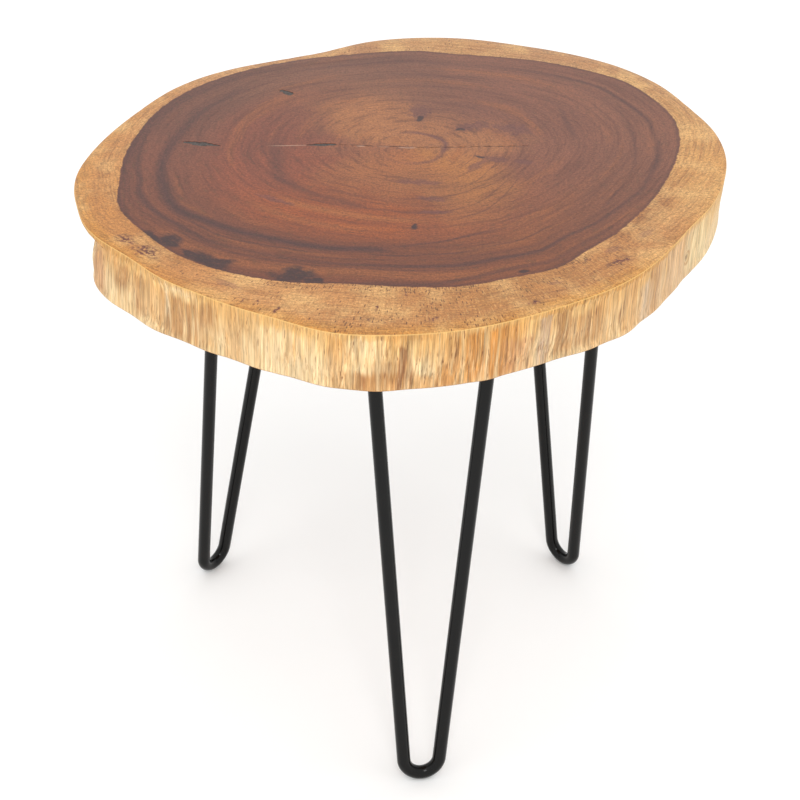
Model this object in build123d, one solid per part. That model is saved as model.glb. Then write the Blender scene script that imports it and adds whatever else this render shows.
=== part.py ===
from build123d import *
from math import acos, atan2, cos, hypot, pi, radians, sin
import os

# A side table: one thick round cut across a tree trunk, with its live edge, on three steel hairpin legs.
# Lengths are in millimetres and angles in degrees. The floor is z = 0, the middle of the slab's outline
# is over the origin, and the front of the table faces -Y.

# Slab of wood
TABLE_HEIGHT = 458.0
SLAB_THICKNESS = 46.0
SLAB_RADIUS = 250.0
TOP_BEVEL = 2.0
UNDERSIDE_BEVEL = 2.5

# Radius of the slab's top, every 10 degrees from +X towards +Y, as shares of the slab's radius
OUTLINE_SHARES = (
    0.976, 1.016, 1.044, 1.056, 1.084, 1.090, 1.070, 1.044, 1.032,
    1.004, 0.960, 0.902, 0.888, 0.902, 0.920, 0.928, 0.930, 0.950,
    0.984, 1.022, 1.036, 1.032, 1.018, 1.009, 1.011, 1.012, 1.032,
    1.010, 0.984, 0.952, 0.928, 0.919, 0.909, 0.898, 0.902, 0.938,
)

# How far the live edge stands out from the top's outline, every 30 degrees, at mid-height and at the
# underside, as shares of the slab's radius
BELLY_SHARES = (
    -0.002, 0.002, 0.004, 0.004, 0.006, 0.004, -0.006, 0.014, 0.000, 0.003, -0.002, 0.000,
)
UNDERSIDE_SHARES = (
    -0.004, -0.010, -0.012, -0.012, -0.012, -0.012, -0.020, 0.008, -0.012, -0.006, -0.010, -0.002,
)

# Flute on the left, where the trunk pulls in below the top's rim: its direction and half its width in
# degrees, and how deep it is at mid-height and at the underside, as shares of the slab's radius
FLUTE_ANGLE = 197.0
FLUTE_HALF_WIDTH = 15.0
FLUTE_BELLY_SHARE = 0.038
FLUTE_UNDERSIDE_SHARE = 0.040

# Points on each level outline of the slab for every entry of OUTLINE_SHARES
POINTS_PER_SHARE = 2

# Cracks in the top, filled flush: both ends from the slab's middle, as shares of its radius, and the width
CRACK_DEPTH = 9.0
CENTRE_CHECK_SHARES = (-0.328, 0.114, -0.222, 0.130)
CENTRE_CHECK_WIDTH = 2.2
REAR_CRACK_SHARES = (-0.444, 0.520, -0.386, 0.474)
REAR_CRACK_WIDTH = 2.6
LEFT_CRACK_SHARES = (-0.716, 0.096, -0.588, 0.080)
LEFT_CRACK_WIDTH = 3.0

# Hairpin rods: round bar bent to a V with a U at the floor
ROD_DIAMETER = 11.0
U_BEND_RADIUS = 14.7
ROD_SPREAD = 93.5

# The three feet stand inside the slab's radius by an inset, on a circle that is a little off its middle
FOOT_INSET = 61.0
FOOT_CIRCLE_X = 8.2
FOOT_CIRCLE_Y = -1.4

# Each leg: direction of its foot from the circle's middle, direction that its flat side faces, lean
# outwards at the floor and lean to one side
LEGS = {
    "left": {"foot_angle": 155.3, "facing_angle": 145.4, "outward_lean": 6.55, "side_lean": 0.4},
    "front": {"foot_angle": -82.3, "facing_angle": -78.4, "outward_lean": 6.95, "side_lean": 0.0},
    "right": {"foot_angle": 36.8, "facing_angle": 41.6, "outward_lean": 6.25, "side_lean": 0.3},
}

# Mounting plates
PLATE_LENGTH = 124.0
PLATE_WIDTH = 62.0
PLATE_THICKNESS = 4.0
PLATE_CORNER_RADIUS = 8.0
SCREW_EDGE_DISTANCE = 11.5
PLATE_HOLE_CLEARANCE = 0.7

# Weld beads round the rod ends
WELD_HEIGHT = 4.2
WELD_TOE = 0.8

# Pan-head wood screws
SCREW_DIAMETER = 4.8
SCREW_LENGTH = 25.0
SCREW_TIP = 5.0
SCREW_HEAD_DIAMETER = 9.4
SCREW_HEAD_HEIGHT = 3.2
SCREW_HEAD_ROUNDING = 2.2
RECESS_SPAN = 4.8
RECESS_WIDTH = 1.1
RECESS_DEPTH = 1.7
PILOT_CLEARANCE = 0.1
PILOT_EXTRA_DEPTH = 2.0

# How far a cutting shape runs past what it cuts
OVERRUN = 6.0

SLAB_UNDERSIDE = TABLE_HEIGHT - SLAB_THICKNESS
PLATE_UNDERSIDE = SLAB_UNDERSIDE - PLATE_THICKNESS
ROD_RADIUS = ROD_DIAMETER / 2
FOOT_CIRCLE_RADIUS = SLAB_RADIUS - FOOT_INSET


def share_around(shares, turn):
    """Share at a turn of 0 to 1 round the slab: a smooth curve through the entries of a table."""
    place = turn * len(shares)
    step = int(place)
    t = place - step
    a, b, c, d = (shares[(step + k) % len(shares)] for k in (-1, 0, 1, 2))
    return b + t * (c - a + t * (2 * a - 5 * b + 4 * c - d + t * (3 * b - 3 * c + d - a))) / 2


def flute(turn):
    """How much of the flute's depth there is at a turn: 1 along its middle and 0 past its sides."""
    off_middle = abs(turn * 360 - FLUTE_ANGLE) / FLUTE_HALF_WIDTH
    return (1 + cos(pi * off_middle)) / 2 if off_middle < 1 else 0


def slab_section(height, edge_shares, flute_share, inset):
    """Level face across the slab, set out from the top's outline by edge_shares, less flute and inset."""
    points = []
    count = len(OUTLINE_SHARES) * POINTS_PER_SHARE
    for step in range(count):
        turn = step / count
        share = share_around(OUTLINE_SHARES, turn) + share_around(edge_shares, turn)
        radius = SLAB_RADIUS * (share - flute_share * flute(turn)) - inset
        points.append((radius * cos(2 * pi * turn), radius * sin(2 * pi * turn), height))
    return make_face(Spline(*points, periodic=True))


def trunk_round():
    """The slab before it is drilled: bevelled top and underside, with a live edge that swells between."""
    flush_shares = (0.0,)
    middle = SLAB_UNDERSIDE + SLAB_THICKNESS / 2
    return loft(
        [
            slab_section(SLAB_UNDERSIDE, UNDERSIDE_SHARES, FLUTE_UNDERSIDE_SHARE, UNDERSIDE_BEVEL),
            slab_section(SLAB_UNDERSIDE + UNDERSIDE_BEVEL, UNDERSIDE_SHARES, FLUTE_UNDERSIDE_SHARE, 0),
            slab_section(middle, BELLY_SHARES, FLUTE_BELLY_SHARE, 0),
            slab_section(TABLE_HEIGHT - TOP_BEVEL, flush_shares, 0, 0),
            slab_section(TABLE_HEIGHT, flush_shares, 0, TOP_BEVEL),
        ],
        ruled=True,
    )


def crack_fill(end_shares, width):
    """A slim filled crack, pointed at both ends, sunk from the top of the slab."""
    start = Vector(end_shares[0], end_shares[1]) * SLAB_RADIUS
    end = Vector(end_shares[2], end_shares[3]) * SLAB_RADIUS
    middle = (start + end) / 2
    sideways = (end - start).normalized().rotate(Axis.Z, 90) * (width / 2)
    sides = [ThreePointArc(start, middle + sideways, end), ThreePointArc(end, middle - sideways, start)]
    return Pos(0, 0, TABLE_HEIGHT) * extrude(make_face(sides), -CRACK_DEPTH)


def hairpin_plane(leg):
    """Plane of one hairpin: origin at the middle of its U, X along the V's width and Y up the V."""
    foot = radians(leg["foot_angle"])
    facing = radians(leg["facing_angle"])
    lean = radians(leg["outward_lean"])
    flat_side = Vector(cos(facing) * cos(lean), sin(facing) * cos(lean), sin(lean))
    across = Vector(-sin(facing), cos(facing), 0)
    up_the_v = flat_side.cross(across)
    bend_bottom = Vector(
        FOOT_CIRCLE_X + FOOT_CIRCLE_RADIUS * cos(foot),
        FOOT_CIRCLE_Y + FOOT_CIRCLE_RADIUS * sin(foot),
        ROD_RADIUS,
    )
    level = Plane(origin=bend_bottom + up_the_v * U_BEND_RADIUS, x_dir=across, z_dir=flat_side)
    return level.rotated((0, 0, leg["side_lean"]))


def v_side(leg, side):
    """Straight side of the V, from the U's tangent point to the plate's underside, on the centre line."""
    plane = hairpin_plane(leg)
    rise = (PLATE_UNDERSIDE - plane.origin.Z) / cos(radians(leg["outward_lean"]))
    reach = hypot(ROD_SPREAD / 2, rise)
    tangent_angle = atan2(rise, ROD_SPREAD / 2) - acos(U_BEND_RADIUS / reach)
    low = plane.from_local_coords(
        (side * U_BEND_RADIUS * cos(tangent_angle), U_BEND_RADIUS * sin(tangent_angle), 0)
    )
    high = plane.from_local_coords((side * ROD_SPREAD / 2, rise, 0))
    along = (high - low).normalized()
    return low, low + along * ((PLATE_UNDERSIDE - low.Z) / along.Z), along


def above_plate():
    """Everything above the underside of the plates, to trim rods and welds flat."""
    block = Box(
        SLAB_RADIUS * 4, SLAB_RADIUS * 4, TABLE_HEIGHT,
        align=(Align.CENTER, Align.CENTER, Align.MIN),
    )
    return Pos(0, 0, PLATE_UNDERSIDE) * block


def hairpin_rod(leg):
    """One bar, bent round the U at the floor, with both ends cut level against the plate."""
    plane = hairpin_plane(leg)
    low_a, high_a, along_a = v_side(leg, -1)
    low_b, high_b, along_b = v_side(leg, 1)
    bend_bottom = plane.from_local_coords((0, -U_BEND_RADIUS, 0))
    start = high_a + along_a * OVERRUN
    line = Line(start, low_a) + ThreePointArc(low_a, bend_bottom, low_b)
    line += Line(low_b, high_b + along_b * OVERRUN)
    section = Plane(origin=start, z_dir=-along_a) * Circle(ROD_RADIUS)
    return sweep(section, path=line) - above_plate()


def weld_bead(leg, side):
    """Ring of weld metal in the corner between one rod end and the plate."""
    _, end, along = v_side(leg, side)
    seat = Plane(origin=end, z_dir=along)
    ring = seat * Cone(
        ROD_RADIUS + WELD_TOE,
        ROD_RADIUS + WELD_HEIGHT * 2 - WELD_TOE,
        WELD_HEIGHT * 2,
    )
    bar = seat * Cylinder(ROD_RADIUS, WELD_HEIGHT * 2 + OVERRUN)
    return ring - bar - above_plate()


def plate_plane(leg):
    """Underside of one mounting plate, centred between its two rod ends, X along the V's width."""
    end_a = v_side(leg, -1)[1]
    end_b = v_side(leg, 1)[1]
    return Plane(origin=(end_a + end_b) / 2, x_dir=end_b - end_a, z_dir=(0, 0, 1))


def screw_places(leg):
    """Where the four screws of one plate go, on the plate's underside."""
    rows = GridLocations(PLATE_LENGTH - SCREW_EDGE_DISTANCE * 2, PLATE_WIDTH - SCREW_EDGE_DISTANCE * 2, 2, 2)
    return [plate_plane(leg).location * place for place in rows]


def mounting_plate(leg):
    """Flat steel plate with rounded corners and four clearance holes."""
    blank = extrude(RectangleRounded(PLATE_LENGTH, PLATE_WIDTH, PLATE_CORNER_RADIUS), PLATE_THICKNESS)
    plate = plate_plane(leg).location * blank
    hole = Cylinder((SCREW_DIAMETER + PLATE_HOLE_CLEARANCE) / 2, PLATE_THICKNESS + OVERRUN * 2)
    for place in screw_places(leg):
        plate -= place * hole
    return plate


def wood_screw():
    """Screw that points up, with the underside of its head at z = 0 and a cross recess below."""
    head = Cylinder(
        SCREW_HEAD_DIAMETER / 2, SCREW_HEAD_HEIGHT, align=(Align.CENTER, Align.CENTER, Align.MAX)
    )
    head = fillet(head.edges().sort_by(Axis.Z)[0], SCREW_HEAD_ROUNDING)
    for turn in (0, 90):
        arm = Box(RECESS_SPAN, RECESS_WIDTH, RECESS_DEPTH, align=(Align.CENTER, Align.CENTER, Align.MIN))
        head -= Pos(0, 0, -SCREW_HEAD_HEIGHT) * Rot(0, 0, turn) * arm
    on_end = (Align.CENTER, Align.CENTER, Align.MIN)
    shank = Cylinder(SCREW_DIAMETER / 2, SCREW_LENGTH - SCREW_TIP, align=on_end)
    tip = Pos(0, 0, SCREW_LENGTH - SCREW_TIP) * Cone(SCREW_DIAMETER / 2, 0, SCREW_TIP, align=on_end)
    return head + shank + tip


def pilot_hole():
    """Blind hole for one screw, drilled up from the plate's underside."""
    depth = SCREW_LENGTH + PILOT_EXTRA_DEPTH
    radius = (SCREW_DIAMETER + PILOT_CLEARANCE) / 2
    return Cylinder(radius, depth, align=(Align.CENTER, Align.CENTER, Align.MIN))


def build():
    """All the pieces of the table, by name."""
    blank = trunk_round()
    middle = blank.bounding_box().center()
    centred = Pos(-middle.X, -middle.Y, 0)
    nodes = {
        "centre_check_fill": centred * crack_fill(CENTRE_CHECK_SHARES, CENTRE_CHECK_WIDTH),
        "rear_crack_fill": centred * crack_fill(REAR_CRACK_SHARES, REAR_CRACK_WIDTH),
        "left_crack_fill": centred * crack_fill(LEFT_CRACK_SHARES, LEFT_CRACK_WIDTH),
    }
    slab = centred * blank
    for fill in nodes.values():
        slab -= fill
    for name, leg in LEGS.items():
        for place in screw_places(leg):
            slab -= place * pilot_hole()
        nodes[name + "_hairpin_rod"] = hairpin_rod(leg)
        nodes[name + "_mounting_plate"] = mounting_plate(leg)
        nodes[name + "_weld_beads"] = Compound([weld_bead(leg, -1).solid(), weld_bead(leg, 1).solid()])
        nodes[name + "_plate_screws"] = Compound(
            [(place * wood_screw()).solid() for place in screw_places(leg)]
        )
    nodes["slab"] = slab
    return nodes


os.makedirs("parts", exist_ok=True)
for node_name, shape in build().items():
    export_step(shape, "parts/" + node_name + ".step")
    size = shape.bounding_box().size
    print(f"{node_name}: {len(shape.solids())} solids, {size.X:.1f} x {size.Y:.1f} x {size.Z:.1f} mm")
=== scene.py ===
# %% [markdown]
# # A slice of tree trunk on three hairpin legs
# The table is one thick round, sawn across a trunk, planed and lacquered on top, with its live edge left
# as it was under the bark. Three legs carry it, each one steel bar bent to a narrow V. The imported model
# gives every place and size, so the first step loads it, and each later step dresses one part of it.

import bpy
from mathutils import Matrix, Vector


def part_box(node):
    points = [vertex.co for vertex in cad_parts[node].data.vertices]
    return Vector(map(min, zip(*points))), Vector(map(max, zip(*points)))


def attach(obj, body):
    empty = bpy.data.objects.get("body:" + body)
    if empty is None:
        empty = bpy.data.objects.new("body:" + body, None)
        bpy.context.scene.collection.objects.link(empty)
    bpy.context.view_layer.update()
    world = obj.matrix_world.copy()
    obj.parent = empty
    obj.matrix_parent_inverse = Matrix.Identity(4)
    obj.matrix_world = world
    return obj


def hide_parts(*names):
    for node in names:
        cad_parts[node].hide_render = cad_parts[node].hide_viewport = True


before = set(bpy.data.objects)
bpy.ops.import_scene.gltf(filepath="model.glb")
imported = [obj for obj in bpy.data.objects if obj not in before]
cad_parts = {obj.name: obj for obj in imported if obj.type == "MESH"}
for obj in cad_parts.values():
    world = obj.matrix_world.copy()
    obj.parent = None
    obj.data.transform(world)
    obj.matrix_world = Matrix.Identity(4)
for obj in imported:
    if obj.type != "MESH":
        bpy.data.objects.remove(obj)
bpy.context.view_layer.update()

# %% Tools and units
import math

import bmesh
import bpy
import numpy as np
from mathutils import Matrix, Vector

MM = 0.001
FULL_TURN = 2 * math.pi
SEED = 11
scene = bpy.context.scene
print("Nodes:", ", ".join(sorted(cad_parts)))

# %% [markdown]
# ## Camera
# The eye stands in front of the table, well above it, and looks down with a long lens, so the round top
# shows as an oval. A camera could be turned with Euler angles. Here its three axes are worked out from
# how far it looks down, how far it swings sideways and how far it rolls, because each can then be read.

# %% Camera
CAMERA_PLACE = Vector((8.2, -1471.8, 1191.6)) * MM
LOOKS_DOWN = math.radians(32.81)
SWINGS_LEFT = math.radians(0.244)
ROLLS = math.radians(2.57)
SENSOR_WIDTH = 36.0
LENS = 95.08


def linked(name, data):
    """New object that holds some data, linked to the scene at the origin."""
    holder = bpy.data.objects.new(name, data)
    scene.collection.objects.link(holder)
    return holder


def look_axes(down, left, roll):
    """Directions to the right, up and ahead of a camera that faces +Y before it is turned."""
    ahead = Vector((
        -math.sin(left) * math.cos(down),
        math.cos(left) * math.cos(down),
        -math.sin(down),
    ))
    level = Vector((math.cos(left), math.sin(left), 0))
    above = level.cross(ahead)
    right = level * math.cos(roll) + above * math.sin(roll)
    up = above * math.cos(roll) - level * math.sin(roll)
    return right, up, ahead


right, up, ahead = look_axes(LOOKS_DOWN, SWINGS_LEFT, ROLLS)
lens = bpy.data.cameras.new("camera")
lens.sensor_width = SENSOR_WIDTH
lens.lens = LENS
camera = linked("camera", lens)
turned = Matrix((right, up, -ahead)).transposed().to_4x4()
camera.matrix_world = Matrix.Translation(CAMERA_PLACE) @ turned
scene.camera = camera
print("Camera is", round(CAMERA_PLACE.length, 3), "m from the middle of the floor below the table")

# %% [markdown]
# ## Node helpers
# A finish is a tree of shader nodes. Written out one by one the nodes are hard to follow, so a few short
# functions add the kinds that come back: a sum, a soft step between two values, a blend of two colours
# and a noise. Each returns the socket that the next one reads. Colours are given as a colour picker shows
# them, from 0 to 255, and made linear, because the shader works with amounts of light.

# %% Adding nodes
def tint(red, green, blue):
    """Linear colour with alpha, from the 0 to 255 values of a colour picker, by the sRGB curve."""
    shares = [value / 255 for value in (red, green, blue)]
    linear = [share / 12.92 if share <= 0.04045 else ((share + 0.055) / 1.055) ** 2.4 for share in shares]
    return (*linear, 1.0)


def fill(tree, made, inputs):
    """Fills a node's inputs with values or with other nodes' sockets."""
    for key, value in inputs.items():
        if isinstance(value, bpy.types.NodeSocket):
            tree.links.new(value, made.inputs[key])
        else:
            made.inputs[key].default_value = value


def node(tree, kind, inputs=None, **settings):
    """Adds a node, sets its properties and fills its inputs."""
    made = tree.nodes.new(kind)
    for name, value in settings.items():
        setattr(made, name, value)
    fill(tree, made, inputs or {})
    return made


def maths(tree, operation, first, second=0.0, third=0.0):
    """Result of one sum on numbers."""
    return node(tree, "ShaderNodeMath", {0: first, 1: second, 2: third}, operation=operation).outputs[0]


def product(tree, first, second):
    """One number times another."""
    return maths(tree, "MULTIPLY", first, second)


def vector_maths(tree, operation, first, second=(0, 0, 0)):
    """Result of one sum on vectors."""
    made = node(tree, "ShaderNodeVectorMath", {0: first, 1: second}, operation=operation)
    return made.outputs["Value" if operation in ("LENGTH", "DOT_PRODUCT") else "Vector"]


print("Helpers that add nodes are ready")

# %% Steps, blends and noises
MIX_SHARE, MIX_FIRST, MIX_SECOND, MIX_RESULT = 0, 6, 7, 2


def soft_step(tree, value, low, high, at_low=0.0, at_high=1.0):
    """Goes smoothly from at_low to at_high as value goes from low to high, and no further."""
    inputs = {"Value": value, "From Min": low, "From Max": high, "To Min": at_low, "To Max": at_high}
    return node(tree, "ShaderNodeMapRange", inputs, interpolation_type="SMOOTHSTEP").outputs[0]


def blend(tree, share, first, second):
    """Colour that goes from first to second as share goes from 0 to 1."""
    inputs = {MIX_SHARE: share, MIX_FIRST: first, MIX_SECOND: second}
    return node(tree, "ShaderNodeMix", inputs, data_type="RGBA").outputs[MIX_RESULT]


def tinge(tree, colour, tone, value, start, full, most):
    """Lays a tone over a colour: not at all where value is at start, most of all where it is at full."""
    return blend(tree, soft_step(tree, value, start, full, 0.0, most), colour, tone)


def times(tree, colour, factor):
    """Colour made lighter or darker by a factor."""
    made = node(tree, "ShaderNodeVectorMath", {0: colour, "Scale": factor}, operation="SCALE")
    return made.outputs["Vector"]


def noise(tree, place, scale, detail=2.0, roughness=0.5):
    """Smooth noise from 0 to 1 at a place."""
    inputs = {"Vector": place, "Scale": scale, "Detail": detail, "Roughness": roughness}
    return node(tree, "ShaderNodeTexNoise", inputs).outputs["Fac"]


def swung(tree, value, amount, rest=0.0):
    """Takes a noise, which swings round a half, and makes it swing round rest by an amount."""
    return maths(tree, "MULTIPLY_ADD", maths(tree, "SUBTRACT", value, 0.5), amount, rest)


def place_on_object(tree):
    """Coordinates of a point on its own object, in metres."""
    return node(tree, "ShaderNodeTexCoord").outputs["Object"]


def attribute(tree, name):
    """Number that the mesh carries under a name."""
    return node(tree, "ShaderNodeAttribute", attribute_name=name).outputs["Fac"]


def surface(name):
    """New material with a shader and its output; returns the material, its tree and the shader."""
    material = bpy.data.materials.new(name)
    material.use_nodes = True
    tree = material.node_tree
    tree.nodes.clear()
    shader = tree.nodes.new("ShaderNodeBsdfPrincipled")
    output = tree.nodes.new("ShaderNodeOutputMaterial")
    tree.links.new(shader.outputs["BSDF"], output.inputs["Surface"])
    return material, tree, shader


def bump(tree, shader, height, strength, distance):
    """Lets a height, 0 to 1, tip the light on the surface."""
    made = node(tree, "ShaderNodeBump", {"Height": height, "Strength": strength, "Distance": distance})
    tree.links.new(made.outputs["Normal"], shader.inputs["Normal"])


print("Helpers for steps, blends and noises are ready")

# %% [markdown]
# ## The slab's shape
# The slab is a trunk round: flat above and below, with a wall that swells, pulls in and is furrowed along
# the grain, as the wood looks once its bark is off. It could be sculpted, or an extruded outline could be
# displaced. Here rings of points run round it, level by level, so that every ring follows the outline of
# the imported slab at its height, and a furrow can be pressed into the wall exactly where it is wanted.

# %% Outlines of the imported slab
CAD_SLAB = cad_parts["slab"]
SLAB_LOW, SLAB_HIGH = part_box("slab")
THICKNESS = SLAB_HIGH.z - SLAB_LOW.z
TOP_BEVEL = 2.0 * MM
UNDERSIDE_BEVEL = 2.5 * MM
EASED_EDGE = 1.1 * MM
MID_HEIGHT = SLAB_LOW.z + THICKNESS / 2
WALL_RADIUS = 200 * MM
LEVEL_TOLERANCE = 0.05 * MM
POINTS_ROUND = 1440
directions = np.arange(POINTS_ROUND) * FULL_TURN / POINTS_ROUND


def outline_at(height):
    """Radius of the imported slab's wall in every direction, at one of the heights where it has edges."""
    places = np.array([vertex.co for vertex in CAD_SLAB.data.vertices])
    radius = np.hypot(places[:, 0], places[:, 1])
    on_edge = (abs(places[:, 2] - height) < LEVEL_TOLERANCE) & (radius > WALL_RADIUS)
    found = places[on_edge]
    around = np.arctan2(found[:, 1], found[:, 0]) % FULL_TURN
    order = around.argsort()
    return np.interp(directions, around[order], radius[on_edge][order], period=FULL_TURN)


rim_outline = outline_at(SLAB_HIGH.z - TOP_BEVEL)
belly_outline = outline_at(MID_HEIGHT)
foot_outline = outline_at(SLAB_LOW.z + UNDERSIDE_BEVEL)
print("Rim radius from", round(rim_outline.min(), 4), "to", round(rim_outline.max(), 4), "m")

# %% [markdown]
# A trunk isn't a smooth shape, so the rim and the foot of the wall get a few soft lobes of a millimetre
# or more, each with its direction, half its width in degrees and how far it stands out. On the left the
# trunk pulls in just below the rim, which leaves a groove under it.

# %% Lobes of the trunk
RIM_LOBES = ((209, 11, 3.4), (229, 9, 2.4), (100, 14, 0.8))
FOOT_LOBES = (
    (216, 8, 2.0), (227, 9, 4.2), (237, 7, 2.2), (248, 8, 2.4), (258, 6, 0.8), (267, 6, 2.0),
    (285, 4, 1.2), (306, 7, 2.0), (315, 7, 2.8), (326, 7, 0.8), (335, 5, 0.4),
)
GROOVES = (
    {"direction": 198.0, "half_width": 12.0, "depth": 9.5 * MM, "full": 7.0 * MM, "end": 100 * MM},
    {"direction": 207.5, "half_width": 7.5, "depth": 5.5 * MM, "full": 5.5 * MM, "end": 28 * MM},
)
GROOVE_TOP = 2.4 * MM


def hump(direction, half_width):
    """1 in one direction, given in degrees, falling softly to 0 at half its width away."""
    off = (np.degrees(directions) - direction + 180) % 360 - 180
    return np.where(abs(off) < half_width, (1 + np.cos(math.pi * off / half_width)) / 2, 0)


def lobes(rules):
    """How far several lobes together stand out in every direction."""
    return sum(height * MM * hump(direction, half_width) for direction, half_width, height in rules)


rim_outline = rim_outline + lobes(RIM_LOBES)
foot_outline = foot_outline + lobes(FOOT_LOBES)
print("Lobes reach", round(float(lobes(FOOT_LOBES).max()) * 1000, 1), "mm at the foot")

# %% [markdown]
# Furrows run down the wall. They are not all alike, so they come from a lattice of random numbers with
# many entries round the slab and few down it, which is blended smoothly and closes on itself. They fade
# towards the rim and the foot, where the plane and the saw cut the trunk cleanly.

# %% Furrows in the live edge
WALL_LEVELS = 26
FURROWS = (
    {"around": 300, "down": 3, "depth": 0.7 * MM},
    {"around": 120, "down": 3, "depth": 0.8 * MM},
    {"around": 38, "down": 2, "depth": 1.0 * MM},
)
FURROW_FADE = 0.14
FURROW_LEFT_AT_EDGE = 0.12


def eased(share):
    """Share from 0 to 1 made to start and to end softly."""
    return share * share * (3 - 2 * share)


def drifting_noise(random, around, down):
    """Noise from 0 to 1 on the wall's grid, closed round the slab, with that many swells each way."""
    lattice = random.random((around, down + 2))
    place_around = directions / FULL_TURN * around
    place_down = np.linspace(0, down, WALL_LEVELS)
    column = place_around.astype(int)
    row = place_down.astype(int)
    share_around = eased(place_around - column)[:, None]
    share_down = eased(place_down - row)[None, :]
    here, beside = column % around, (column + 1) % around
    upper = lattice[here][:, row] * (1 - share_around) + lattice[beside][:, row] * share_around
    lower = lattice[here][:, row + 1] * (1 - share_around) + lattice[beside][:, row + 1] * share_around
    return upper * (1 - share_down) + lower * share_down


random = np.random.default_rng(SEED)
furrow = sum(kind["depth"] * drifting_noise(random, kind["around"], kind["down"]) ** 2 for kind in FURROWS)
wall_share = np.linspace(0, 1, WALL_LEVELS)
from_edge = np.clip(np.minimum(wall_share, 1 - wall_share) / FURROW_FADE, 0, 1)
furrow *= FURROW_LEFT_AT_EDGE + (1 - FURROW_LEFT_AT_EDGE) * from_edge
print("Furrows up to", round(furrow.max() * 1000, 2), "mm deep")

# %% [markdown]
# A branch once left the wall low on the right, and its stump shows as a small dimple with a raised lip.

# %% Dimple of the branch stump
STUMP_DIRECTION = math.radians(340.5)
STUMP_HEIGHT = 430 * MM
STUMP_HALF_WIDTH = 3.4 * MM
STUMP_HALF_HEIGHT = 5.2 * MM
STUMP_DEPTH = 1.6 * MM
wall_heights = SLAB_HIGH.z - TOP_BEVEL - wall_share * (THICKNESS - TOP_BEVEL - UNDERSIDE_BEVEL)
off_stump = (directions - STUMP_DIRECTION) * rim_outline / STUMP_HALF_WIDTH
reach = np.hypot(off_stump[:, None], ((wall_heights - STUMP_HEIGHT) / STUMP_HALF_HEIGHT)[None, :])
furrow += STUMP_DEPTH * np.exp(-reach ** 2)
print("Stump at", round(math.degrees(STUMP_DIRECTION), 1), "degrees")

# %% [markdown]
# The rings of points are joined to one closed skin. On the top the rings close in on the pith, the middle
# of the tree, which is not the middle of the slab. Lines from the pith to the rim then cross the growth
# rings squarely, and a value that grows along such a line is held exactly by a few points.

# %% Skin of the slab
PITH = Vector((3.7, 34.2, 0)) * MM
TOP_RINGS = 20
UNDERSIDE_RINGS = 6
ROUNDING_STEPS = 4
SIDE_SHARPNESS = math.radians(50)


def ring_of(radius, height):
    """Points in every direction round the slab's middle at a radius and a height."""
    return np.stack([radius * np.cos(directions), radius * np.sin(directions), height + 0 * radius], axis=1)


def soft_ramp(value, low, high):
    """Goes smoothly from 0 to 1 as a number goes from low to high."""
    return eased(min(max((value - low) / (high - low), 0), 1))


def wall_radius(share):
    """Smooth radius of the wall, from its rim at share 0 past its belly to its foot at share 1."""
    tall = THICKNESS - TOP_BEVEL - UNDERSIDE_BEVEL
    drop = (SLAB_HIGH.z - TOP_BEVEL - MID_HEIGHT) / tall
    from_rim = rim_outline * (share - drop) * (share - 1) / drop
    from_belly = belly_outline * share * (share - 1) / (drop * (drop - 1))
    smooth = from_rim + from_belly + foot_outline * share * (share - drop) / (1 - drop)
    below_rim = share * tall
    for groove in GROOVES:
        pressed = soft_ramp(below_rim, GROOVE_TOP, groove["full"])
        pressed *= 1 - soft_ramp(below_rim, groove["full"], groove["end"])
        smooth = smooth - groove["depth"] * pressed * hump(groove["direction"], groove["half_width"])
    return smooth


def slab_rings():
    """Every ring of points, from the pith over the rim and down the wall to the underside's middle."""
    middle = np.array(PITH)
    middle[2] = SLAB_HIGH.z
    rim_edge = rim_outline - furrow[:, 0]
    foot_edge = wall_radius(1.0) - furrow[:, -1]
    top_edge = ring_of(rim_edge - EASED_EDGE, SLAB_HIGH.z)
    rings = [middle + (top_edge - middle) * (step / TOP_RINGS) for step in range(1, TOP_RINGS + 1)]
    for step in range(1, ROUNDING_STEPS):
        angle = step / ROUNDING_STEPS * math.pi / 2
        radius = rim_edge - EASED_EDGE * (1 - math.sin(angle))
        rings.append(ring_of(radius, SLAB_HIGH.z - TOP_BEVEL * (1 - math.cos(angle))))
    for level, share in enumerate(wall_share):
        rings.append(ring_of(wall_radius(share) - furrow[:, level], wall_heights[level]))
    for step in range(1, ROUNDING_STEPS):
        angle = step / ROUNDING_STEPS * math.pi / 2
        radius = foot_edge - EASED_EDGE * (1 - math.cos(angle))
        rings.append(ring_of(radius, SLAB_LOW.z + UNDERSIDE_BEVEL * (1 - math.sin(angle))))
    for step in range(UNDERSIDE_RINGS, 0, -1):
        rings.append(ring_of((foot_edge - EASED_EDGE) * step / UNDERSIDE_RINGS, SLAB_LOW.z))
    return rings


def closed_skin(rings, first_middle, last_middle):
    """Points and faces of a skin through closed rings, with a fan of triangles at either end."""
    count = len(rings[0])
    points = np.concatenate([*rings, [first_middle, last_middle]])
    along = np.arange(count)
    after = (along + 1) % count
    faces = []
    for upper in range(len(rings) - 1):
        here, below = upper * count, (upper + 1) * count
        faces += np.stack([here + along, below + along, below + after, here + after], axis=1).tolist()
    start, end = len(points) - 2, len(points) - 1
    last = (len(rings) - 1) * count
    faces += [[start, a, b] for a, b in zip(along.tolist(), after.tolist())]
    faces += [[end, last + b, last + a] for a, b in zip(along.tolist(), after.tolist())]
    return points, faces


def new_piece(name, points, faces):
    """Mesh object from points and faces, linked to the scene at the origin."""
    mesh = bpy.data.meshes.new(name)
    mesh.from_pydata([tuple(point) for point in points], [], faces)
    mesh.validate()
    return linked(name, mesh)


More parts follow.
